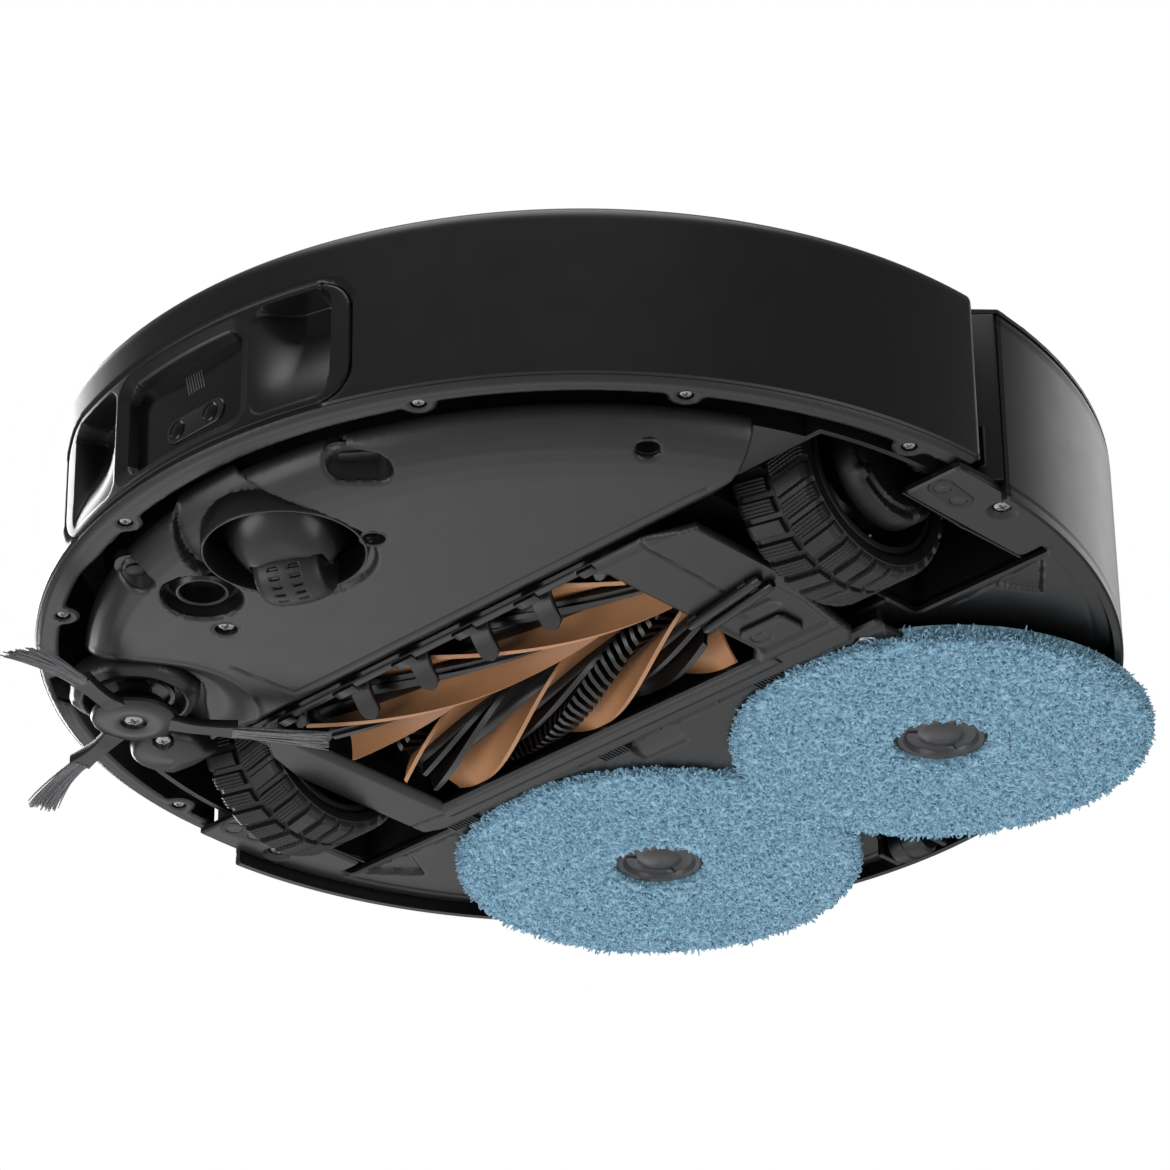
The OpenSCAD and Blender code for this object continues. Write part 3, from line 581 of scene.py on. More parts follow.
# ---------------------------------------------------------------- bottom plate
arm_dir = Vector((HUB[0] - PIVOT[0], HUB[1] - PIVOT[1])).normalized()
arm_side = Vector((-arm_dir.y, arm_dir.x))
ARM_REACH = math.hypot(HUB[0] - PIVOT[0], HUB[1] - PIVOT[1])
P_R = np.array([0, 134, 138, 144, 150, 154, 156.5, 158.6, 160, 170.0])
P_Z = np.array([12, 12, 12.15, 12.8, 14.0, 15.7, 17.5, 19.9, 22.2, 26.0])
BAY = [tuple(Vector(PIVOT) + arm_side * 15), tuple(Vector(HUB) + arm_side * 22.2), tuple(Vector(HUB) + arm_dir * 60),
       (PIVOT[0] - 90, PIVOT[1] - 90), (PIVOT[0] - 90, PIVOT[1] + 15), (PIVOT[0], PIVOT[1] + 15)]
WELL_NOTCH = [(118, -40), (118, -59), (130, -64), (148, -74), (220, -74), (220, -40)]
PLATE_SCREWS = [(25.2, -116), (-48.6, -110)]
SMALL_SCREW = (118, -91.6)
SCREW_HOLES = PLATE_SCREWS + [SMALL_SCREW]
EYE_PLACE = move(48.3, -144.4, 0, 38)
EYE = [tuple(EYE_PLACE @ Vector((*p, 0)))[:2] for p in outline_box(-10.2, 10.2, -5.3, 5.3, 5.2, 8)]
SOCKET = (-39.5, -128.5)
TEAR = round_corners([(-57, -149.0), (-50.5, -153.6), (-44.6, -149.6), (-44.8, -142.8), (-54, -141.6)], 4.5, 8)


def bay_sdf(x, y):
    sweep = np.maximum(poly_sdf(x, y, BAY), disc_sdf(x, y, *PIVOT, ARM_REACH + 22.2))
    return smooth_min(sweep, disc_sdf(x, y, *HUB, 22.2), 1.5)


def plate_sdf(x, y):
    s = np.maximum(np.hypot(x, y) - 159.8, y + 59.6)
    s = smooth_max(s, -bay_sdf(x, y), 0.8)
    s = smooth_max(s, -poly_sdf(x, y, WELL_NOTCH), 2.5)
    s = np.maximum(s, -disc_sdf(x, y, *CASTER, 25.2))
    s = np.maximum(s, -poly_sdf(x, y, EYE))
    s = np.maximum(s, -poly_sdf(x, y, TEAR))
    s = np.maximum(s, -disc_sdf(x, y, *SOCKET, 12.7))
    for cx, cy in SCREW_HOLES:
        s = np.maximum(s, -disc_sdf(x, y, cx, cy, 3.7))
    return s


def plate_low(x, y):
    z = np.interp(np.hypot(x, y), P_R, P_Z)
    # the rolled edge and bevel above the roller bay
    z = z + 1.5 * ease((y + 63.5) / 3.5)
    # dished bowl around the side brush
    bowl = disc_sdf(x, y, -106.7, -90.4, 35.0)
    z = z + 4.6 * ease(-bowl / 12.0) - crease(bowl, 0.35, 1.1)
    # crescent scoops around the caster
    front = np.hypot(x - CASTER[0] + 3.5, y - CASTER[1] + 8.5) - 26.2
    z = z + 4.0 * ease(-front / 2.2) * ease((4 - (y - CASTER[1])) / 12)
    rear = np.hypot(x - CASTER[0] - 0.8, y - CASTER[1] - 4.4) - 25.4
    z = z + 1.8 * ease(-rear / 1.5) * ease((y - CASTER[1] - 2) / 8)
    # seam line of the front cover panel
    seam = np.minimum(capsule_sdf(x, y, -65.5, -92.5, -64, -66, 0.0), capsule_sdf(x, y, -64, -66, 118, -65.5, 0.0))
    return z + crease(seam, 0.5, 0.45)


plate = Build()
plate_relief(plate, -160.5, 160.5, -160.5, -59, 0.75, plate_sdf, plate_low,
             lambda x, y: np.maximum(plate_low(x, y) + 1.6, np.interp(np.hypot(x, y), P_R, P_Z) + 1.8), edge=0.9)
lathe(plate, [(24.7, 12.3), (25.1, 11.8), (25.5, 11.8), (25.9, 12.4), (25.9, 22.0), (24.7, 22.0)], 144,
      place=move(*CASTER))
for cx, cy in SCREW_HOLES:
    z = float(plate_low(cx + 4.1, cy))
    collar = [(3.6, z + 1.0), (3.6, z + 0.2), (3.9, z - 0.05), (4.5, z - 0.05), (4.8, z + 0.3), (4.8, z + 1.0)]
    lathe(plate, collar, 48, place=move(cx, cy))
cup(plate, EYE, plate_low, 20.4, 1.4)
cup(plate, TEAR, plate_low, 20.4, 1.6)
for cx, cy in SCREW_HOLES:
    cup(plate, outline_disc(3.7, 40, cx, cy), plate_low, 19.0, 0.3)
plate.piece("base_plate", "chassis", ["plate"], ["bottom_plate"], 40)

def pad_low(x, y):
    hole = np.minimum(disc_sdf(x, y, 0, -4.5, 2.9), disc_sdf(x, y, 0, 4.5, 2.9))
    return 19.2 + 1.0 * ease(-hole / 0.6)


sensors = Build()
prism(sensors, outline_box(-6.5, 6.5, -2.1, 2.1, 2.0), 19.7, 20.9, 0.4, 0, 1, EYE_PLACE)
lathe(sensors, [(0, 18.8), (2.0, 18.9), (3.4, 19.6), (3.4, 20.4), (0, 20.4)], 40, mat=1, place=move(-50.5, -146.3))
for side in (-1, 1):
    spot = move(side * 159.5, -1, 0, side * 8)
    plate_relief(sensors, -5, 5, -10, 10, 0.35, lambda x, y: box_sdf(x, y, -4.6, 4.6, -9.5, 9.5, 4.5), pad_low, 21.0,
                 1, 0.5, spot)
    for ly in (-4.5, 4.5):
        lathe(sensors, [(0, 19.4), (1.2, 19.6), (2.1, 20.1), (2.1, 20.6), (0, 20.6)], 28, place=spot @ move(0, ly))
lathe(sensors, [(13.0, 13.2), (12.7, 14.2), (11.9, 17.6), (10.6, 17.6), (8.7, 15.2), (8.2, 14.4), (7.6, 14.3),
                (7.1, 14.7), (7.0, 15.4), (7.0, 22.2), (13.0, 22.2)], 96, mat=2, place=move(*SOCKET))
lathe(sensors, [(0, 20.6), (8.0, 20.6), (8.0, 22.2), (0, 22.2)], 48, mat=1, place=move(*SOCKET))
sensors.piece("floor_eyes", "chassis", ["lens", "inner", "gloss"], ["floor_sensors"], slot="lens")

base_screws = Build()
for k, (cx, cy) in enumerate(PLATE_SCREWS):
    screw(base_screws, cx, cy, 15.0 - 2.2 * k, 3.1, turn=30 + 40 * k)
screw(base_screws, *SMALL_SCREW, 19.0, 2.4, turn=10)
for side in (-1, 1):
    screw(base_screws, side * MID_SCREW[0], MID_SCREW[1], 11.7, 3.3, turn=25 * side)
    screw(base_screws, side * WING_SCREW[0], WING_SCREW[1], 20.5, 2.9, turn=12 * side)
base_screws.piece("base_screws", "chassis", ["chrome"], ["bottom_screws"])

# ---------------------------------------------------------------- side brush arm and brush
SIDE_SCREW = (-121.6, -71.9)


def pod_sdf(x, y):
    body = poly_sdf(x, y, [(-138, -52.5), (-117.5, -51.5), tuple(Vector(HUB) - arm_side * 20.5),
                           tuple(Vector(HUB) + arm_side * 20.5), (-139, -62)])
    s = smooth_min(body, disc_sdf(x, y, *HUB, 20.9), 5.0)
    s = smooth_min(s, disc_sdf(x, y, *PIVOT, 12.8), 3.0)
    return np.maximum(s, -disc_sdf(x, y, *HUB, 3.3))


def pod_low(x, y):
    s = pod_sdf(x, y)
    hub = np.hypot(x - HUB[0], y - HUB[1])
    z = 12.0 + 3.6 * (1 - np.sqrt(np.clip(-s / 11, 0, 1)))
    z = z + 0.9 * ease((-y - 58) / -8)
    z = z + 5.0 * ease((16.6 - hub) / 1.2) - crease(hub - 17.5, 0.4, 0.7)
    return z + 3.0 * ease((3.6 - np.hypot(x - SIDE_SCREW[0], y - SIDE_SCREW[1])) / 0.7)


pod = Build()
plate_relief(pod, -142, -84, -120, -48, 0.6, pod_sdf, pod_low, 21.5, edge=1.6)
lathe(pod, [(0, 21.2), (4, 21.2), (4, 28.4), (0, 28.4)], 48, place=move(*PIVOT))
for r0, r1, z in ((11.6, 13.0, 15.4), (4.2, 5.6, 14.8)):
    lathe(pod, [(r0, z), (r1, z), (r1, 17.6), (r0, 17.6)], 64, place=move(*HUB))
screw(pod, *SIDE_SCREW, 13.6, 2.7, 1, turn=35)
pod.piece("brush_pod", "brush_arm", ["plate", "chrome"], ["side_arm"], 40)

hub = Build()
lathe(hub, [(0, 6.6), (3.9, 6.6), (4.3, 5.4), (5.2, 5.0), (9.0, 5.1), (12.4, 5.6), (13.6, 6.4), (14.0, 7.4),
            (13.8, 8.6), (12.8, 9.5), (10.0, 9.7), (10.0, 12.4), (3.0, 12.4), (3.0, 20.8), (0, 20.8)], 96,
      place=move(*HUB))
hub.piece("brush_hub", "side_brush", ["gloss"], ["side_brush_hub"], 30, slot="inner")
hub_screw = Build()
screw(hub_screw, *HUB, 5.5, 3.4, turn=25)
hub_screw.piece("brush_screw", "side_brush", ["chrome"], ["side_brush_screw"])

BRUSH_ARMS = ((53.8, 54.2, 64.5), (170.5, 165.7, 68.0), (288.0, 280.7, 61.0))  # angle at root and tip, reach
arms, tufts = Build(), Build()
for a0, a1, reach in BRUSH_ARMS:
    d0 = np.array([math.cos(math.radians(a0)), math.sin(math.radians(a0))])
    d1 = np.array([math.cos(math.radians(a1)), math.sin(math.radians(a1))])
    root = np.array(HUB) + d0 * 11.5
    mid = np.array(HUB) + d0 * 33.5
    tip = np.array(HUB) + d1 * reach
    side0 = np.array([-d0[1], d0[0]])
    rows = []
    for t in np.linspace(0, 1, 12):
        c = root + (mid - root) * t
        w = 3.6 - 0.9 * math.sin(math.pi * t)
        lift = 1.5 * ease(1 - t / 0.4) - 0.5 * t
        hgt = 1.25 + 0.35 * t
        ring_pts = [(-w, -hgt), (w, -hgt), (w + 0.3, -hgt + 0.5), (w + 0.3, hgt - 0.5), (w, hgt), (-w, hgt),
                    (-w - 0.3, hgt - 0.5), (-w - 0.3, -hgt + 0.5)]
        rows += [(*(c + side0 * p), 5.9 + lift * 0.5 + q) for p, q in ring_pts]
    arms.add(rows, swept_faces(12, 8))
    bend = mid + d0 * (reach - 33.5) * 0.45
    for k in range(64):
        off, low = RNG.uniform(-2.6, 2.6), RNG.uniform(-0.75, 0.75)
        splay = RNG.normal(0, 1.4) + off * 0.75
        drop = RNG.uniform(-0.35, 0.35)
        cut = RNG.uniform(0.9, 1.0)
        path = []
        for t in np.linspace(0, 1, 7):
            b = (1 - t) ** 2 * mid + 2 * t * (1 - t) * bend + t * t * tip
            b = mid + (b - mid) * cut - d0 * 1.5 * (1 - t)
            wave = 0.5 * math.sin(3.2 * t + k) * t
            path.append((*(b + side0 * (off + splay * t ** 1.6 + wave)), 4.75 + low + drop * t - 0.3 * t))
        tube(tufts, path, [0.34, 0.34, 0.33, 0.32, 0.3, 0.28, 0.2], 5)
arms.piece("brush_arms", "side_brush", ["rubber"], ["side_brush_arms"], 40)
tufts.piece("brush_tufts", "side_brush", ["bristle"], ["side_brush_bristles"], 60)

# ---------------------------------------------------------------- caster
AT_CASTER = move(*CASTER, turn=25)


def nose_sdf(x, y):
    """A thumb-shaped nose that leans over the roller."""
    return smooth_min(disc_sdf(x, y, 0, -2.0, 19.8), box_sdf(x, y, -18.6, 18.6, -4, 14.5, 9.0), 4.0)


def dome_sdf(x, y):
    mouth = box_sdf(x, y, -12.0, 12.0, -1.0, 40, 3.0)
    return np.maximum(np.maximum(nose_sdf(x, y), np.hypot(x, y) - 23.7), -mouth)


def dome_low(x, y):
    inside = (13.0 + np.minimum(nose_sdf(x, y), 0)) / 13.0
    across = np.sqrt(np.clip(1 - inside.clip(0, 1) ** 2.2, 0, 1))
    slope = 12.6 - 5.1 * ease((y + 24) / 25) + 3.2 * ease((y - 8) / 10)
    return slope + (29.5 - slope) * (1 - across)


dome = Build()
plate_relief(dome, -24, 24, -24, 24, 0.45, dome_sdf, dome_low, 31.6, edge=0.5, place=AT_CASTER)
lathe(dome, [(0, 30.4), (23.6, 30.4), (23.6, 31.8), (4, 31.9), (4, 46.8), (0, 46.8)], 64, place=AT_CASTER)
tube(dome, [(x, CASTER_ROLL_Y, CASTER_ROLL_Z) for x in (-12.9, -6, 6, 12.9)], 1.5, 20, 0, AT_CASTER)
dome.piece("caster_nose", "caster_swivel", ["gloss"], ["caster_fork"], 40, slot="inner")

roller = Build()
n_around, n_across = 216, 72
xs = np.linspace(-11, 11, n_across)
base = np.interp(np.abs(xs), [0, 3, 6, 8.5, 10, 10.7, 11], [12, 11.9, 11.55, 10.9, 10.1, 9.4, 8.6])
theta = np.linspace(0, 2 * math.pi, n_around, endpoint=False)
groove = np.zeros((n_across, n_around))
for col in (-3.4, 3.4):
    across = ease((1.9 - np.abs(xs - col)) / 0.5)
    along = ease((np.cos(theta * 24) - 0.25) / 0.35)
    groove = np.maximum(groove, across[:, None] * along[None, :])
rad = base[:, None] - 0.75 * groove
def tread_rings(xs, rad):
    y, z = CASTER_ROLL_Y + rad * np.cos(theta), CASTER_ROLL_Z + rad * np.sin(theta)
    return np.stack([np.repeat(xs[:, None], n_around, 1), y, z], -1)


bores = [tread_rings(np.array([x]), np.full((1, n_around), 1.65)) for x in (-10.4, 10.4)]
stack = np.concatenate([bores[0], tread_rings(xs, rad), bores[1]])
roller.add(stack, rings_to_faces(n_across + 2, n_around, True, True).tolist(), 0, AT_CASTER)
roller.piece("caster_wheel_tread", "caster_wheel", ["rubber"], ["caster_roller"], 40)

# ---------------------------------------------------------------- brush rollers
ROLLER_Z = 27.0
FRONT_Y, REAR_Y = -31.5, 9.0
FRONT_TURN, REAR_TURN = 311.2, 201.7  # angle of the first flap where x = 0
FRONT_TWIST, REAR_TWIST = 1.1, -1.6  # degrees per mm


def strip(build, x0, x1, y0, edge_angle, twist, section, step=1.4):
    """Sweeps a closed (radius, angle offset in degrees) outline along the roller with a twist."""
    xs = np.arange(x0, x1 + 0.01, (x1 - x0) / round((x1 - x0) / step))
    rad, offset = np.array(section, float).T
    ang = np.radians(edge_angle + twist * xs[:, None] + offset)
    verts = np.stack([np.repeat(xs[:, None], len(rad), 1), y0 + rad * np.cos(ang), ROLLER_Z + rad * np.sin(ang)], -1)
    build.add(verts, swept_faces(len(xs), len(rad)))


def flap_section(lean, r1=19.0, r0=7.6, thick=1.1, bead=1.5, n=9):
    up, down = [], []
    for k in range(n):
        s = k / (n - 1)
        r = r0 + (r1 - r0) * s
        off = lean * (1 - s) ** 1.2
        w = thick * (1.5 - 0.5 * min(1, s * 3)) if s < 0.9 else bead
        half = math.degrees(w / 2 / r)
        up.append((r, off - half))
        down.append((r, off + half))
    up.append((r1, 0.0))
    return up + down[::-1]


front_flaps, rear_flaps = Build(), Build()
for k in range(5):
    strip(front_flaps, -81, 61, FRONT_Y, FRONT_TURN + 72 * k, FRONT_TWIST, flap_section(20))
for k in range(4):
    strip(rear_flaps, -81, 53, REAR_Y, REAR_TURN + 90 * k, REAR_TWIST, flap_section(-16))
front_flaps.piece("front_flaps", "front_roller", ["copper"], ["front_roller_fins"], 50)
rear_flaps.piece("rear_flaps", "rear_roller", ["copper"], ["rear_roller_fins"], 50)


def core(build, y0):
    lathe(build, [(0, -96.8), (3.95, -96.8), (3.95, -88.5), (8.4, -88), (9.2, -86.8), (9.2, -83), (8, -82.4),
                  (7.9, 61.4), (9.0, 61.8), (9.0, 64), (8, 65), (3.95, 65.4), (3.95, 73.8), (0, 73.8)], 64,
          place=move(0, y0, ROLLER_Z, 90, "Y"))


front_core, rear_core = Build(), Build()
core(front_core, FRONT_Y)
core(rear_core, REAR_Y)
for k in range(5):
    for off, r in ((-44, 12.6), (-36, 13.6), (-28, 12.2)):
        ridge = flap_section(4, r, 7.2, 1.7, 1.7, 4)
        strip(front_core, -80, 60, FRONT_Y, FRONT_TURN + 72 * k + off, FRONT_TWIST, ridge, 2)


def rear_rib(x0, x1, angle, section, step=2):
    strip(rear_core, x0, x1, REAR_Y, angle, REAR_TWIST, section, step)


PADDLE = [(7.2, -62), (17.0, -58), (17.4, -50), (17.2, -34), (16.4, -26), (7.2, -24)]
for k in range(4):
    angle = REAR_TURN + 90 * k
    if k % 2 == 0:
        rear_rib(-80, 52, angle - 46, flap_section(-10, 16.2, 7.2, 1.5, 2.2, 7))
        rear_rib(-80, 52, angle - 66, flap_section(-4, 12.0, 7.2, 1.7, 1.7, 4))
    else:
        rear_rib(-80, 52, angle - 66, flap_section(-4, 12.4, 7.2, 1.8, 1.8, 4))
        for x in np.arange(-78, 51, 3.7):
            rear_rib(x, x + 1.6, angle, PADDLE, 0.8)
front_core.piece("front_core", "front_roller", ["gloss"], ["front_roller_core"], 40, slot="inner")
rear_core.piece("rear_core", "rear_roller", ["gloss"], ["rear_roller_core"], 40, slot="inner")

# ---------------------------------------------------------------- brush cover, guards, rods and latch
COVER_EDGE = [(-103.6, 30.6), (-97, 33.4), (88, 33.2), (92, 29), (96.4, 5), (101.5, -14), (101.5, -53), (84, -58.4),
              (-88, -58.4), (-99, -44), (-103.6, -29)]
COVER_WINDOW = [(-84, -55.6), (-85, -38), (-85, 22.0), (56, 22.0), (61.0, 17), (61.0, -50), (57, -55.6)]


def cover_sdf(x, y):
    return smooth_max(poly_sdf(x, y, COVER_EDGE), -poly_sdf(x, y, COVER_WINDOW), 1.2)


def cover_low(x, y):
    z = np.full_like(x, 10.0)
    # rolled inner lip towards the rollers and a bevel on the front edge
    inner = poly_sdf(x, y, COVER_WINDOW)
    z = z + 1.2 * ease((3.2 - inner) / 3.2) * ((x > 55) | (x < -80))
    z = z + 1.1 * ease((-53.5 - y) / 4.0)
    # seam of the end panel and its thumb pocket
    seam = np.minimum(capsule_sdf(x, y, 82.6, -60, 81.6, -30, 0.0), capsule_sdf(x, y, 81.6, -30, 80.4, -17.5, 0.0))
    z = z + crease(seam, 0.55, 0.45)
    pocket = poly_sdf(x, y, [(63.5, 19.5), (63.5, -3.5), (94, -9.5), (93.5, 5), (90.5, 19.5)], 1.2)
    z = z + 1.5 * ease(-pocket / 2.2)
    thumb = box_sdf(x, y, 70.5, 88, -4.5, 3.2, 3.0)
    z = z + 0.75 * ease(-thumb / 3.5)
    seam2 = np.minimum(capsule_sdf(x, y, 64, 24.5, 95, 24.5, 0.0), capsule_sdf(x, y, -83, 26.5, -106, 24.0, 0.0))
    return z + crease(seam2, 0.45, 0.4)


cover = Build()
plate_relief(cover, -111, 102.5, -59.5, 34.5, 0.6, cover_sdf, cover_low, 12.4, edge=0.9)


def rim_sdf(x, y):
    return box_sdf(x, y, -88, 63.5, 21.6, 31.6, 1.5)


def rim_low(x, y):
    return 9.5 + 1.0 * ease((24.5 - y) / 2.6) + 0.7 * ease((y - 27.6) / 1.6) - crease(y - 26.2, 0.35, 0.9)


plate_relief(cover, -88.6, 64.2, 20, 32.2, 0.6, rim_sdf, rim_low, 12.3, 1, 0.7)
for gx in (-77.6, -50.2, -22.8, 4.7, 32.4, 58.6):
    width = 4.1 if abs(gx + 9) < 55 else 2.9
    last = 243 if abs(gx + 9) < 55 else 222
    path = [(-58.2, 11.2), (-55.5, 10.9)]
    for a in np.radians(np.linspace(197, last, 12)):
        path.append((FRONT_Y + 20.9 * math.cos(a), ROLLER_Z + 20.9 * math.sin(a)))
    p = np.array(path)
    tan = np.gradient(p, axis=0)
    tan /= np.linalg.norm(tan, axis=1, keepdims=True)
    nrm = np.stack([tan[:, 1], -tan[:, 0]], 1)
    rows = []
    for k, (c, nn) in enumerate(zip(p, nrm)):
        t = k / (len(p) - 1)
        w = width * (1.12 - 0.2 * t) * (math.sqrt(max(0.0, 1 - ((t - 0.86) / 0.145) ** 2)) if t > 0.86 else 1)
        w = max(w, 0.5)
        h = 0.95
        lean = -2.4 * t
        for dx, dn in ((-w, -h * 0.6), (-w + 0.4, -h), (w - 0.4, -h), (w, -h * 0.6),
                       (w, h * 0.6), (w - 0.4, h), (-w + 0.4, h), (-w, h * 0.6)):
            rows.append((gx + lean + dx, c[0] + nn[0] * dn, c[1] + nn[1] * dn))
    cover.add(rows, swept_faces(len(p), 8), 1)
cover.piece("roller_cover", "cover", ["plate", "gloss"], ["brush_cover"], 40)

rods = Build()
for y0, y1, x0, x1 in ((-12.2, -18.2, 60.5, 96.0), (-7.2, -13.0, 62.5, 96.5)):
    pts = [(x0 + (x1 - x0) * t, y0 + (y1 - y0) * t, 8.3 + 0.5 * t) for t in (0, 0.04, 0.08, 0.5, 0.9, 0.96, 1)]
    tube(rods, pts, [1.3, 1.75, 1.85, 1.85, 1.85, 1.7, 1.2], 16)
    for t in (0.1, 0.8):
        c = Vector(pts[0]).lerp(Vector(pts[-1]), t)
        prism(rods, outline_box(-2.2, 2.2, -2.3, 2.3, 0.7, 3), 8.6, 11.6, 0.2, 0, 0, move(c.x, c.y, 0, -10))
rods.piece("release_rods", "cover", ["gloss"], ["cover_rods"], slot="inner")

latch = Build()


def latch_low(x, y):
    hook = np.maximum(box_sdf(x, y, 66.0, 73.5, 8.2, 13.8, 2.4), -box_sdf(x, y, 67.2, 75, 9.4, 12.6, 1.4))
    return 9.6 + 0.5 * ease(-hook / 0.3) + 0.5 * ease((7.5 - y) / 3)


plate_relief(latch, 63.5, 84.5, 4.5, 17.6, 0.4, lambda x, y: box_sdf(x, y, 64.5, 83.5, 5.0, 17.0, 2.5), latch_low,
             11.0, edge=0.6)
latch.piece("cover_catch", "latch", ["plate"], ["cover_latch"])


# ---------------------------------------------------------------- middle strip
def mid_sdf(x, y):
    s = box_sdf(x, y, -99, 99, 33.8, 72, 3)
    for side in (1, -1):
        s = smooth_max(s, -disc_sdf(x, y, side * PAD[0], PAD[1], 62.0), 1.0)
    return np.maximum(s, -disc_sdf(np.abs(x), y, *MID_SCREW, 2.9))


def mid_low(x, y):
    z = 12.0 + 1.4 * ease((37.5 - y) / 2.5)
    ramp = poly_sdf(x, y, [(-14.5, 36.0), (5.0, 36.0), (3.2, 48.2), (-16.2, 48.2)], 0.5)
    z = z + ease(-ramp / 0.9) * (3.4 - 2.6 * ease((y - 36) / 12))
    return z + 0.8 * ease(-disc_sdf(np.abs(x), y, *MID_SCREW, 4.6) / 0.7)


middle = Build()
plate_relief(middle, -99.6, 99.6, 33.4, 72.6, 0.6, mid_sdf, mid_low, lambda x, y: mid_low(x, y) + 1.7, edge=0.8)
prism(middle, outline_box(-97, 97, 35.9, 38.8, 0.8, 3), 14.2, 19.4, 0.2, 0.0)
for x0, x1 in ((-75, -62), (-55, -33), (-6, 4), (10, 30), (66, 80)):
    prism(middle, outline_box(x0, x1, 30.6, 35.2, 0.8, 3), 10.7, 13.6, 0.4, 0.1)
    prism(middle, outline_box(x0 - 2.4, x0 + 0.6, 31.4, 36.6, 0.6, 3), 11.3, 14.4, 0.3, 0.1, 1)
    prism(middle, outline_box((x0 + x1) / 2 - 0.9, (x0 + x1) / 2 + 0.9, 32.0, 33.6, 0.3, 2), 10.4, 11.2, 0.15, 0, 1)
for cx in (-90.5, -19.5, 50.5):
    for k in range(9):
        prism(middle, outline_box(cx - 5.6 + 1.4 * k, cx - 4.9 + 1.4 * k, 31.0, 38.5, 0.3, 2), 10.8, 14, 0.15, 0, 1)
middle.piece("middle_strip", "chassis", ["plate", "inner"], ["mid_plate"], 40)


# ---------------------------------------------------------------- drive wheels
def tyre(name, side, body, node):
    build = Build()
    n = 900
    th = np.linspace(0, 2 * math.pi, n, endpoint=False)
    across = np.concatenate([[-13.6, -14.6, -15.0], np.linspace(-15, 15, 97), [15.0, 14.6, 13.6]])
    wall = np.array([28.0, 28.6, 30.2] + [0] * 97 + [30.2, 28.6, 28.0])
    carcass = 33.0 - 1.2 * ease((np.abs(across) - 12) / 3)
    x = np.repeat(across[:, None], n, 1)
    arc = th * 34
    pitch = 2 * math.pi * 34 / 30
    height = np.zeros_like(x)
    for row, (x0, x1, shift) in enumerate(((-14.8, -0.8, 0.0), (0.8, 14.8, 0.5))):
        slant = (x - (x0 + x1) / 2) * 0.16 * (1 if row else -1)
        pos = arc + slant + shift * pitch
        cell = np.floor(pos / pitch)
        local = pos - (cell + 0.5) * pitch
        block = np.maximum(np.abs(local) - pitch * 0.385, np.abs(x - (x0 + x1) / 2) - (x1 - x0) / 2)
        ribbed = (cell.astype(int) + row) % 3 != 0
        rib = np.where(ribbed, 0.32 * ease((np.cos(local * 2 * math.pi / 1.18) - 0.1) / 0.5), 0.0)
        height = np.maximum(height, ease(-block / 0.55) * (1.95 - rib))
    rad = carcass[:, None] + height
    rad = np.where(wall[:, None] > 0, wall[:, None], rad)
    verts = np.stack([side * (x + WHEEL_X), WHEEL_Y + rad * np.cos(th), WHEEL_Z + rad * np.sin(th)], -1)
    build.add(verts, rings_to_faces(len(across), n, side > 0, True).tolist())
    build.piece(name, body, ["tyre"], [node], 30)


tyre("tread_left", 1, "wheel_left", "tyre_left")
tyre("tread_right", -1, "wheel_right", "tyre_right")


def rim(name, side, body, node):
    build = Build()
    place = move(side * WHEEL_X, WHEEL_Y, WHEEL_Z, 90 * side, "Y")
    lathe(build, [(27.9, -13.4), (27.9, 13.4), (27.2, 14.6), (25.8, 14.8), (25.2, 14.0), (24.6, 3.2), (23.4, 1.6),
                  (12.2, 1.0), (9.6, 2.2), (8.2, 4.0), (8.0, 11.4), (7.4, 12.0), (3.6, 12.0), (3.6, -10.0),
                  (7.4, -10.0), (8.0, -9.4), (8.4, -4.0), (10.2, -2.4), (22.8, -2.2), (24.6, -3.6), (25.2, -14.0),
                  (25.8, -14.8), (27.2, -14.6)], 144, place=place)
    spoke = round_corners([(11.5, -1.3), (24.3, -1.9), (24.3, 1.9), (11.5, 1.3)], 0.6)
    for k in range(6):
        spot = place @ move(turn=60 * k + 15)
        prism(build, spoke, -3.8, 4.6, 0.4, 0.4, 0, spot)
        lathe(build, [(0, 0.6), (1.7, 0.6), (1.7, 2.2), (1.2, 2.8), (0, 2.8)], 20, mat=1,
              place=spot @ move(turn=30) @ move(18))
    build.piece(name, body, ["rim", "chrome"], [node], 35)


rim("hub_left", 1, "wheel_left", "rim_left")
rim("hub_right", -1, "wheel_right", "rim_right")


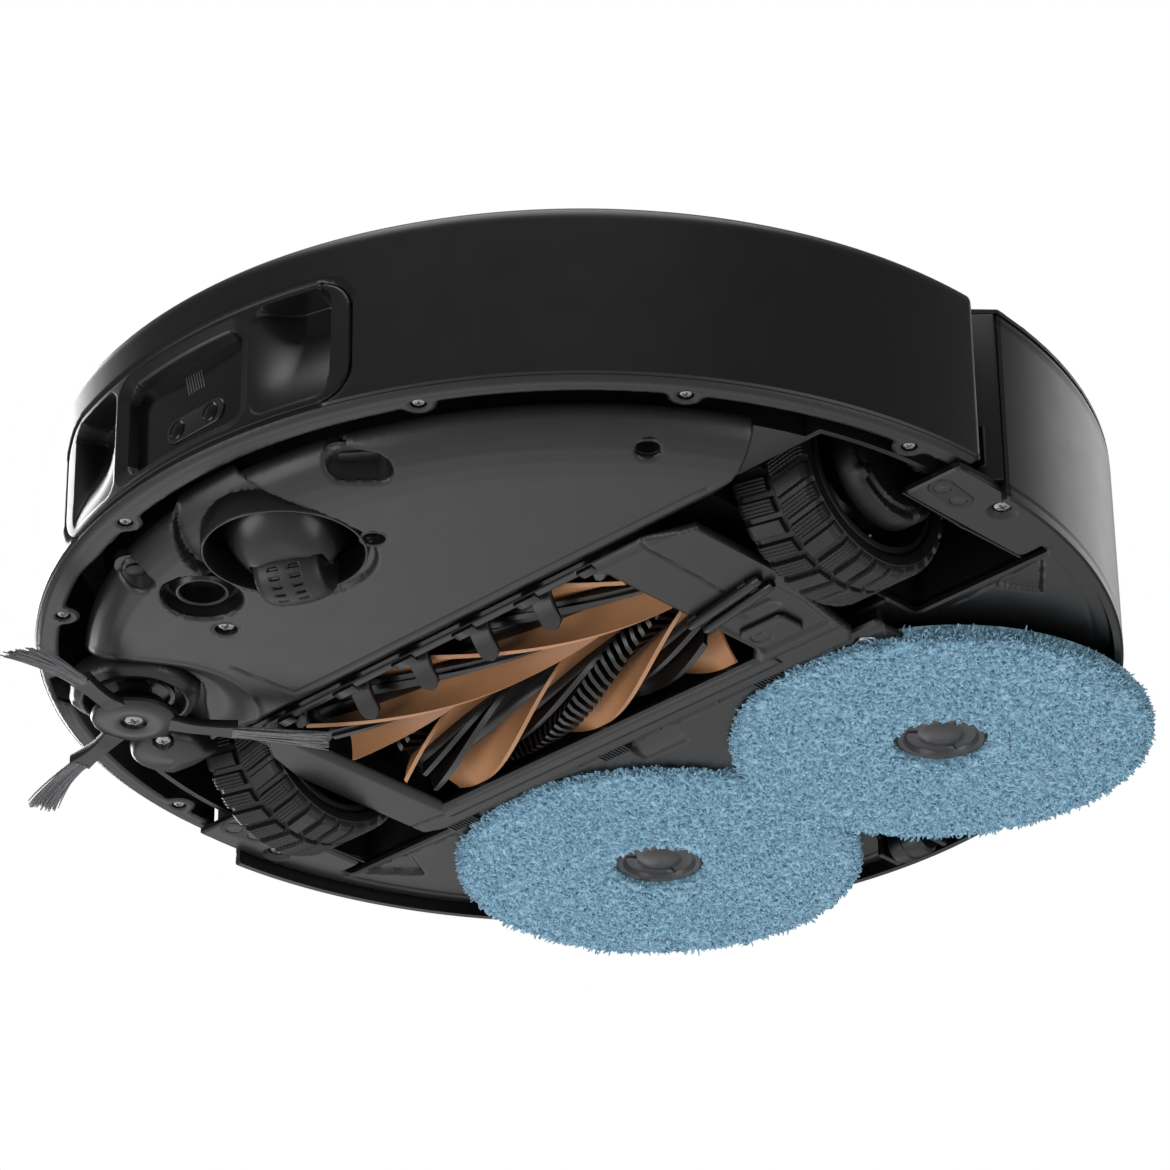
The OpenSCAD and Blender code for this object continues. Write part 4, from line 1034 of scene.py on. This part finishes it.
def gearbox(name, side, body, node):
    build = Build()

    def sdf(y, z):
        beam = capsule_sdf(y, z, WHEEL_Y + 4, 40, ARM_Y, ARM_Z, 8.0)
        return smooth_min(disc_sdf(y, z, WHEEL_Y, WHEEL_Z, 20.9), beam, 6.0)

    def outer(y, z):
        x = 145.9 - rounding(sdf(y, z), 1.6)
        step = disc_sdf(y, z, WHEEL_Y, WHEEL_Z, 16.5)
        x = x - 1.1 * ease(step / 0.8)
        x = x + 7.6 * ease(-disc_sdf(y, z, -1, 45, 11.4) / 1.6)
        x = x - 1.0 * ease(-disc_sdf(y, z, -1, 45, 5.0) / 0.6)
        for a in (20, 110, 215, 300):
            cy, cz = WHEEL_Y + 18.5 * math.cos(math.radians(a)), WHEEL_Z + 18.5 * math.sin(math.radians(a))
            x = x + 1.6 * ease(-disc_sdf(y, z, cy, cz, 2.3) / 0.6)
        return x * side, y, z
    relief(build, np.arange(-31, 47.1, 0.7), np.arange(13, 63, 0.7), sdf, outer,
           lambda y, z: (np.full_like(y, 137.1 * side), y, z), 0, side > 0)
    axle = move(0, WHEEL_Y, WHEEL_Z, 90, "Y")
    pivot = move(0, ARM_Y, ARM_Z, 90, "Y")
    x0, x1 = sorted((side * 111.2, side * 137.2))
    lathe(build, [(0, x0), (3.45, x0), (3.45, x1), (0, x1)], 40, mat=1, place=axle)
    x0, x1 = sorted((side * 145.2, side * 151.5))
    lathe(build, [(0, x0), (3.95, x0), (3.95, x1), (0, x1)], 40, mat=1, place=pivot)
    build.piece(name, body, ["inner", "pin"], [node], 40)


gearbox("drive_left", 1, "suspension_left", "gearbox_left")
gearbox("drive_right", -1, "suspension_right", "gearbox_right")


# ---------------------------------------------------------------- rear plate, shell and side strips
def rear_sdf(x, y):
    s = np.maximum(disc_sdf(x, y, 0, SHELL_Y, 171.8), -(y + 11))
    ax = np.abs(x)
    well = np.maximum(box_sdf(ax, y, 103, 158, -50, 48, 1.5), -box_sdf(ax, y, 149.5, 169.5, -16, 44, 1.5))
    s = np.maximum(s, -well)
    s = np.maximum(s, -box_sdf(x, y, -102, 102, -200, 34.6, 0))
    s = np.maximum(s, -disc_sdf(ax, y, *PAD, 11.0))
    s = np.maximum(s, -disc_sdf(ax, y, *MID_SCREW, 3.6))
    s = np.maximum(s, -disc_sdf(ax, y, *WING_SCREW, 3.1))
    return np.maximum(s, -box_sdf(x, y, -9, 9, 156.5, 172, 2))


def rear_low(x, y):
    ax = np.abs(x)
    z = np.full_like(x, 19.5)
    z = z + 1.6 * ease(-poly_sdf(ax, y, [(133.5, 52.5), (152.5, 50.5), (140, 65)], 0.8) / 0.8)
    z = z + 0.8 * ease(-disc_sdf(ax, y, *WING_SCREW, 4.8) / 0.6)
    step = np.minimum(capsule_sdf(ax, y, 150, 49.8, 110, 52.5, 0.0), capsule_sdf(ax, y, 110, 52.5, 101, 62, 0.0))
    z = z + crease(step, 0.5, 0.5) + crease(disc_sdf(x, y, 0, SHELL_Y, 166.0), 0.4, 0.5) * (y > 46)
    # hollow above each mop disc
    return z + 1.2 * ease(-disc_sdf(ax, y, *PAD, 50.5) / 1.2)


rear = Build()
plate_relief(rear, -172.2, 172.2, -12, 174, 0.8, rear_sdf, rear_low, 21.9, edge=0.7)
for side in (-1, 1):
    prism(rear, outline_box(9.3, 11.5, 159.2, 169.8, 0.7, 3), 13.6, 19.8, 0.5, 0, 0, move(size=(side, 1, 1)))
    rail = [(side * 148.6, 45 - 3.1 * k, 19.9 + 0.25 * abs(k - 9) ** 0.5) for k in range(19)]
    tube(rear, rail, 0.55, 8, 0)
rear.piece("rear_base", "chassis", ["plate"], ["rear_plate"], 40)


def back_sdf(u, z):
    s = np.maximum(np.abs(u) - BODY_R * (math.pi / 2 - 0.0375), np.maximum(15.5 - z, z - 82.15))
    x = BODY_R * np.sin(u / BODY_R)
    near = np.abs(u) < 90
    s = np.where(near, np.maximum(s, -box_sdf(x, z, -15, 15, 30, 42, 1.2)), s)
    for cx in (-24, 24):
        s = np.where(near, np.maximum(s, -box_sdf(x, z, cx - 8.2, cx + 8.2, 49.8, 62.2, 1.2)), s)
    return s


def behind(u, r, z):
    return r * np.sin(u / BODY_R), SHELL_Y + r * np.cos(u / BODY_R), z


def back_depth(u, z):
    frame_line = np.where(np.abs(u) < 90, box_sdf(BODY_R * np.sin(u / BODY_R), z, -38, 38, 24, 68, 6), 9.0)
    return crease(frame_line, 0.35, 0.45) + crease(z - 19.2, 0.5, 0.4) + crease(z - 78.5, 0.5, 0.4)


back = Build()
relief(back, np.arange(-268.6, 268.7, 1.0), np.arange(15.5, 82.2, 0.667), back_sdf,
       lambda u, z: behind(u, BODY_R - back_depth(u, z) - rounding(back_sdf(u, z), 0.8), z),
       lambda u, z: behind(u, np.full_like(u, 172.1), z), 0, True)
back.piece("rear_wall", "chassis", ["shell"], ["rear_shell"], 40)

END_POST = round_corners([(161, -0.4), (166, -0.4), (173.8, 7), (173.8, 7.8), (161, 7.8)], [0.5, 1.5, 0.6, 0.3, 0.3], 3)
strips = Build()
for side in (-1, 1):
    place = move(size=(side, 1, 1))
    prism(strips, END_POST, 22.1, 82.1, 0.3, 0.3, 0, place)
    prism(strips, [(161, -1.2), (173.6, -1.2), (173.6, -0.2), (161, -0.2)], 23.6, 38, 0.3, 0.3, 0, place)
    for k in range(2):
        lip = outline_box(168.4 - 5 * k, 169.0 - 5 * k, 3.0 - 4.2 * k, 4.2 - 4.2 * k, 0.25, 2)
        prism(strips, lip, 24, 80, 0.2, 0.2, 0, place)
strips.piece("end_strips", "chassis", ["shell"], ["side_strips"])

contacts = Build()
for cx in (-24, 24):
    prism(contacts, outline_box(cx - 8, cx + 8, 50, 62, 0.9, 4), 172.2, 175.3, 0.1, 0.5, 0, FRONT)
contacts.piece("dock_contacts", "chassis", ["contact"], ["charging_contacts"])


def glass_sdf(u, z):
    return box_sdf(BODY_R * np.sin(u / BODY_R), z, -14.8, 14.8, 30.2, 41.8, 1.2)


glass = Build()
relief(glass, np.arange(-15.6, 15.7, 0.6), np.arange(29.8, 42.3, 0.6), glass_sdf,
       lambda u, z: behind(u, 174.6 - rounding(glass_sdf(u, z), 0.4), z),
       lambda u, z: behind(u, np.full_like(u, 171.2), z), 0, True)
glass.piece("rear_glass", "chassis", ["window"], ["rear_window"])

idler = Build()
lathe(idler, [(0, -11.3), (1.75, -11.3), (1.75, -7.1), (4.8, -7.0), (5.7, -6.2), (5.95, -5), (5.95, -1), (5.5, -0.6),
              (5.5, 0.6), (5.95, 1), (5.95, 5), (5.7, 6.2), (4.8, 7.0), (1.75, 7.1), (1.75, 11.3), (0, 11.3)], 64,
      place=move(0, 164.5, 17, 90, "Y"))
idler.piece("tail_roller", "idler", ["rubber"], ["rear_idler"])


# ---------------------------------------------------------------- mops
def stubs(build, base, direction, length, radius):
    """Many short bent, blunt-ended loops of pile, given as arrays."""
    n, sides = len(base), 4
    direction /= np.linalg.norm(direction, axis=1, keepdims=True)
    ref = np.where(np.abs(direction[:, 2:3]) < 0.9, [[0, 0, 1.0]], [[1.0, 0, 0]])
    a = np.cross(direction, ref)
    a /= np.linalg.norm(a, axis=1, keepdims=True)
    b = np.cross(direction, a)
    bend = a * RNG.normal(0, 0.35, (n, 1)) + b * RNG.normal(0, 0.35, (n, 1))
    rows = []
    for t, w in ((0.0, 0.9), (0.45, 1.08), (0.8, 0.95), (1.0, 0.45)):
        centre = base + (direction * t + bend * t * t) * length[:, None]
        ang = np.linspace(0, 2 * math.pi, sides, endpoint=False) + 0.6
        ring_at = (np.cos(ang)[None, :, None] * a[:, None, :] + np.sin(ang)[None, :, None] * b[:, None, :])
        rows.append(centre[:, None, :] + ring_at * (radius * w)[:, None, None])
    verts = np.stack(rows, 1).reshape(-1, 3)
    one = np.concatenate([rings_to_faces(4, sides), [[12, 13, 14, 15], [3, 2, 1, 0]]])
    faces = (one[None] + (np.arange(n) * 4 * sides)[:, None, None]).reshape(-1, 4)
    build.add(verts, faces[:, ::-1].tolist())


PILE_R = 68.6


def pile_low(r):
    edge = np.clip((r - (PILE_R - 5.5)) / 5.5, 0, 1)
    hole = np.clip((18.5 - r) / 3.0, 0, 1)
    return 8.7 + 4.4 * (1 - np.sqrt(np.maximum(1 - edge ** 2, 0))) + 2.2 * (1 - np.sqrt(np.maximum(1 - hole ** 2, 0)))


def mop_pad(name, side, body, node):
    at_pad = [side * PAD[0], PAD[1], 0]
    build = Build()
    n = 420
    radii = np.concatenate([[15.9, 16.0], np.linspace(16.6, PILE_R - 0.4, 64), [PILE_R, PILE_R + 0.2]])
    th = np.linspace(0, 2 * math.pi, n, endpoint=False)
    lump = np.array([[noise.noise(Vector((r * math.cos(a) * 0.55, r * math.sin(a) * 0.55, side * 9.0)))
                      for a in th] for r in radii])
    r2 = np.repeat(radii[:, None], n, 1)
    z = pile_low(r2) - 0.8 * lump
    z[0], z[-1] = 13.8, 14.0
    under = np.stack([r2 * np.cos(th), r2 * np.sin(th), z], -1)
    upper = np.stack([r2[::-1] * np.cos(th), r2[::-1] * np.sin(th), np.full_like(z, 15.15)], -1)
    stack = np.concatenate([under, upper[[0, 20, 45, -1]]])
    build.add(stack + at_pad, rings_to_faces(len(stack), n, True, True).tolist())

    # pile over the whole face, denser than it is long
    count = 11500
    r = np.sqrt(RNG.uniform(16.2 ** 2, (PILE_R - 0.3) ** 2, count))
    a = RNG.uniform(0, 2 * math.pi, count)
    base = np.stack([r * np.cos(a), r * np.sin(a), pile_low(r) + 0.5], 1)
    out = np.clip((r - PILE_R + 5) / 5, 0, 1) ** 1.5 - 0.9 * np.clip((18.5 - r) / 2.5, 0, 1)
    way = np.stack([np.cos(a) * out, np.sin(a) * out, -1.0 + 0.7 * np.abs(out)], 1) + RNG.normal(0, 0.42, (count, 3))
    way[:, 2] = np.minimum(way[:, 2], -0.12)
    stubs(build, base + at_pad, way, RNG.uniform(1.1, 1.95, count), RNG.uniform(0.4, 0.72, count))

    # longer fringe round the rim and the hole
    for radius, sign, count, reach in ((PILE_R - 0.6, 1, 2600, 2.6), (16.6, -1, 620, 1.7)):
        a = RNG.uniform(0, 2 * math.pi, count)
        height = RNG.uniform(9.4, 14.4, count)
        rr = radius - sign * np.clip((10.4 - height), 0, 2) * 1.2
        base = np.stack([rr * np.cos(a), rr * np.sin(a), height], 1)
        way = np.stack([sign * np.cos(a), sign * np.sin(a), RNG.uniform(-0.75, 0.1, count)], 1)
        way += RNG.normal(0, 0.3, (count, 3))
        stubs(build, base + at_pad, way, RNG.uniform(0.5, 1.0, count) * reach, RNG.uniform(0.26, 0.46, count))
    piece = build.piece(name, body, ["blue"], [node], 60)


mop_pad("mop_pile_left", 1, "mop_left", "mop_pad_left")
mop_pad("mop_pile_right", -1, "mop_right", "mop_pad_right")


def mop_disc(name, side, body, node):
    build = Build()
    place = move(side * PAD[0], PAD[1])
    lathe(build, [(0, 10.75), (3.5, 10.9), (6.6, 11.6), (7.4, 12.3), (8.2, 12.5), (11.4, 12.3), (12.0, 11.4),
                  (12.6, 10.8), (14.2, 10.7), (15.2, 11.3), (15.5, 12.4), (15.5, 15.3), (47.2, 15.3), (48.0, 15.9),
                  (48.0, 18.2), (47.2, 18.9), (20, 18.9), (5, 18.95), (5, 41.0), (11.6, 41.0), (12, 41.4),
                  (12, 47.6), (11.6, 48), (0, 48)], 128, place=place)
    for k in range(3):
        prism(build, outline_box(-1.1, 1.1, 7.9, 11.3, 0.5, 3), 11.7, 12.9, 0.3, 0, 0, place @ move(turn=120 * k + 20))
    build.piece(name, body, ["cap"], [node], 30)


mop_disc("mop_cap_left", 1, "mop_left", "mop_disc_left")
mop_disc("mop_cap_right", -1, "mop_right", "mop_disc_right")


# ---------------------------------------------------------------- top
def deck_sdf(x, y):
    front = np.hypot(x, y) - 168.4
    rear_half = np.maximum(disc_sdf(x, y, 0, SHELL_Y, 174.9),
                           -np.minimum(y + 0.6, (y + 0.6 - (np.abs(x) - 166) * 0.98) * 0.714))
    s = np.minimum(front, rear_half)
    s = np.maximum(s, -box_sdf(x, y, -91, 91, -57, 19, 9))
    s = np.maximum(s, -disc_sdf(x, y, *TURRET, 6.2))
    return np.maximum(s, -disc_sdf(np.abs(x), y, KEY_X, KEY_Y, 8.4))


def dome_top(x, y):
    return 86.6 - 2.0 * (np.hypot(x, y) / 168.0) ** 2


def deck_top(x, y):
    z = dome_top(x, y) - rounding(deck_sdf(x, y), 0.9)
    lid_seat = box_sdf(x, y, -96, 96, -62, 24, 12)
    z = np.where(lid_seat < 0.6, z + (83.5 - z) * ease(-lid_seat / 0.7 + 0.2), z)
    turret = disc_sdf(x, y, *TURRET, 44.8)
    z = np.where(turret < 0.5, z + (85.35 - z) * ease(-turret / 0.6 + 0.2), z)
    z = np.where(disc_sdf(x, y, *TURRET, 38) < 0, 83.7, z)
    z = z - crease(box_sdf(x, y, -31, 31, -117.5, -94.5, 11.4), 0.35, 0.55)
    return z - crease(np.hypot(x, y) - 158.5, 0.4, 0.6)


deck = Build()
relief(deck, np.arange(-176, 176.1, 1.0), np.arange(-170, 177.1, 1.0), deck_sdf,
       lambda x, y: (x, y, deck_top(x, y)), lambda x, y: (x, y, np.full_like(x, 82.25)))
deck.piece("deck_panel", "chassis", ["deck"], ["top_deck"], 40)


def lid_sdf(x, y):
    return box_sdf(x, y, -95.6, 95.6, -61.6, 23.6, 11.6)


def lid_top(x, y):
    z = dome_top(x, y) + 0.55 - rounding(lid_sdf(x, y), 1.0)
    notch = box_sdf(x, y, -17, 17, -75, -53.2, 6.5)
    z = z - 1.9 * ease(-notch / 3.0)
    return z - crease(box_sdf(x, y, -89, 89, -55, 17, 7), 0.3, 0.5)


lid = Build()
relief(lid, np.arange(-96, 96.1, 0.8), np.arange(-62, 24.1, 0.8), lid_sdf,
       lambda x, y: (x, y, lid_top(x, y)), lambda x, y: (x, y, np.full_like(x, 83.75)))
lid.piece("bin_cover", "lid", ["deck"], ["top_lid"], 40)

turret = Build()
at_turret = move(*TURRET)
lathe(turret, [(41, 85.5), (43.6, 85.5), (44, 85.9), (44, 87.7), (43.6, 88.1), (41, 88.1)], 144, place=at_turret)
lathe(turret, [(0, 94.6), (40.6, 94.6), (41, 92.9), (43.6, 92.9), (44, 93.3), (44, 94.4), (43.4, 95.8), (42.2, 96.6),
               (40.6, 97.0), (38, 96.9), (30, 96.65), (29.4, 96.3), (28.8, 96.65), (0, 96.8)], 144, place=at_turret)
for k in range(3):
    prism(turret, [(41.2, -2.6), (43.7, -2.6), (43.9, 0), (43.7, 2.6), (41.2, 2.6)], 87.6, 93.4, 0.1, 0.1, 0,
          at_turret @ move(turn=120 * k + 180))
turret.piece("sensor_turret", "chassis", ["deck"], ["turret_cap"], 35)

laser = Build()
lathe(laser, [(0, 72.2), (5.95, 72.2), (5.95, 84.2), (29.2, 84.3), (30, 85.1), (30, 87.4), (27.6, 88.2), (27.6, 92.2),
              (26.8, 93.6), (25, 94.0), (0, 94.0)], 96, place=at_turret)
for side in (-1, 1):
    tube(laser, [(side * 9, y, 90.2) for y in (20, 26, 28.2, 28.9)], [3.2, 3.2, 3.2, 2.6], 24, 1, at_turret)
laser.piece("scan_head", "laser", ["inner", "window"], ["laser_head"])

for name, side, body, node in (("power_key_cap", -1, "power_key", "power_button"),
                               ("home_key_cap", 1, "home_key", "home_button")):
    cap = Build()
    lathe(cap, [(0, 79.1), (5, 79.1), (5, 83.2), (7.6, 83.2), (8, 83.6), (8, 86.3), (7.5, 86.85), (6.8, 87.0),
                (5.4, 86.75), (2.5, 86.45), (0, 86.4)], 72, place=move(side * KEY_X, KEY_Y))
    cap.piece(name, body, ["deck"], [node], 35)


# ---------------------------------------------------------------- finishes on the CAD nodes, and floor
for entry in frame["record"]["subparts"]:
    node = frame["nodes"][entry["node"]]
    node.data.materials.clear()
    node.data.materials.append(M[BY_SLOT[entry["material_slot"]]])
    node.data.polygons.foreach_set("use_smooth", np.ones(len(node.data.polygons), bool))
    node.data.polygons.foreach_set("material_index", np.zeros(len(node.data.polygons), np.int32))
    node.data.set_sharp_from_angle(angle=math.radians(35))

floor_mat = material("floor_pale", (0.9, 0.9, 0.9), 0.8, vary=0.01, vary_scale=3, bump=0.01, grain=60)
floor_mesh = bpy.data.meshes.new("studio_floor")
floor_mesh.from_pydata([(-40, -40, -0.98), (40, -40, -0.98), (40, 40, -0.98), (-40, 40, -0.98)], [], [(0, 1, 2, 3)])
floor_mesh.materials.append(floor_mat)
floor = bpy.data.objects.new("studio_floor", floor_mesh)
bpy.context.scene.collection.objects.link(floor)
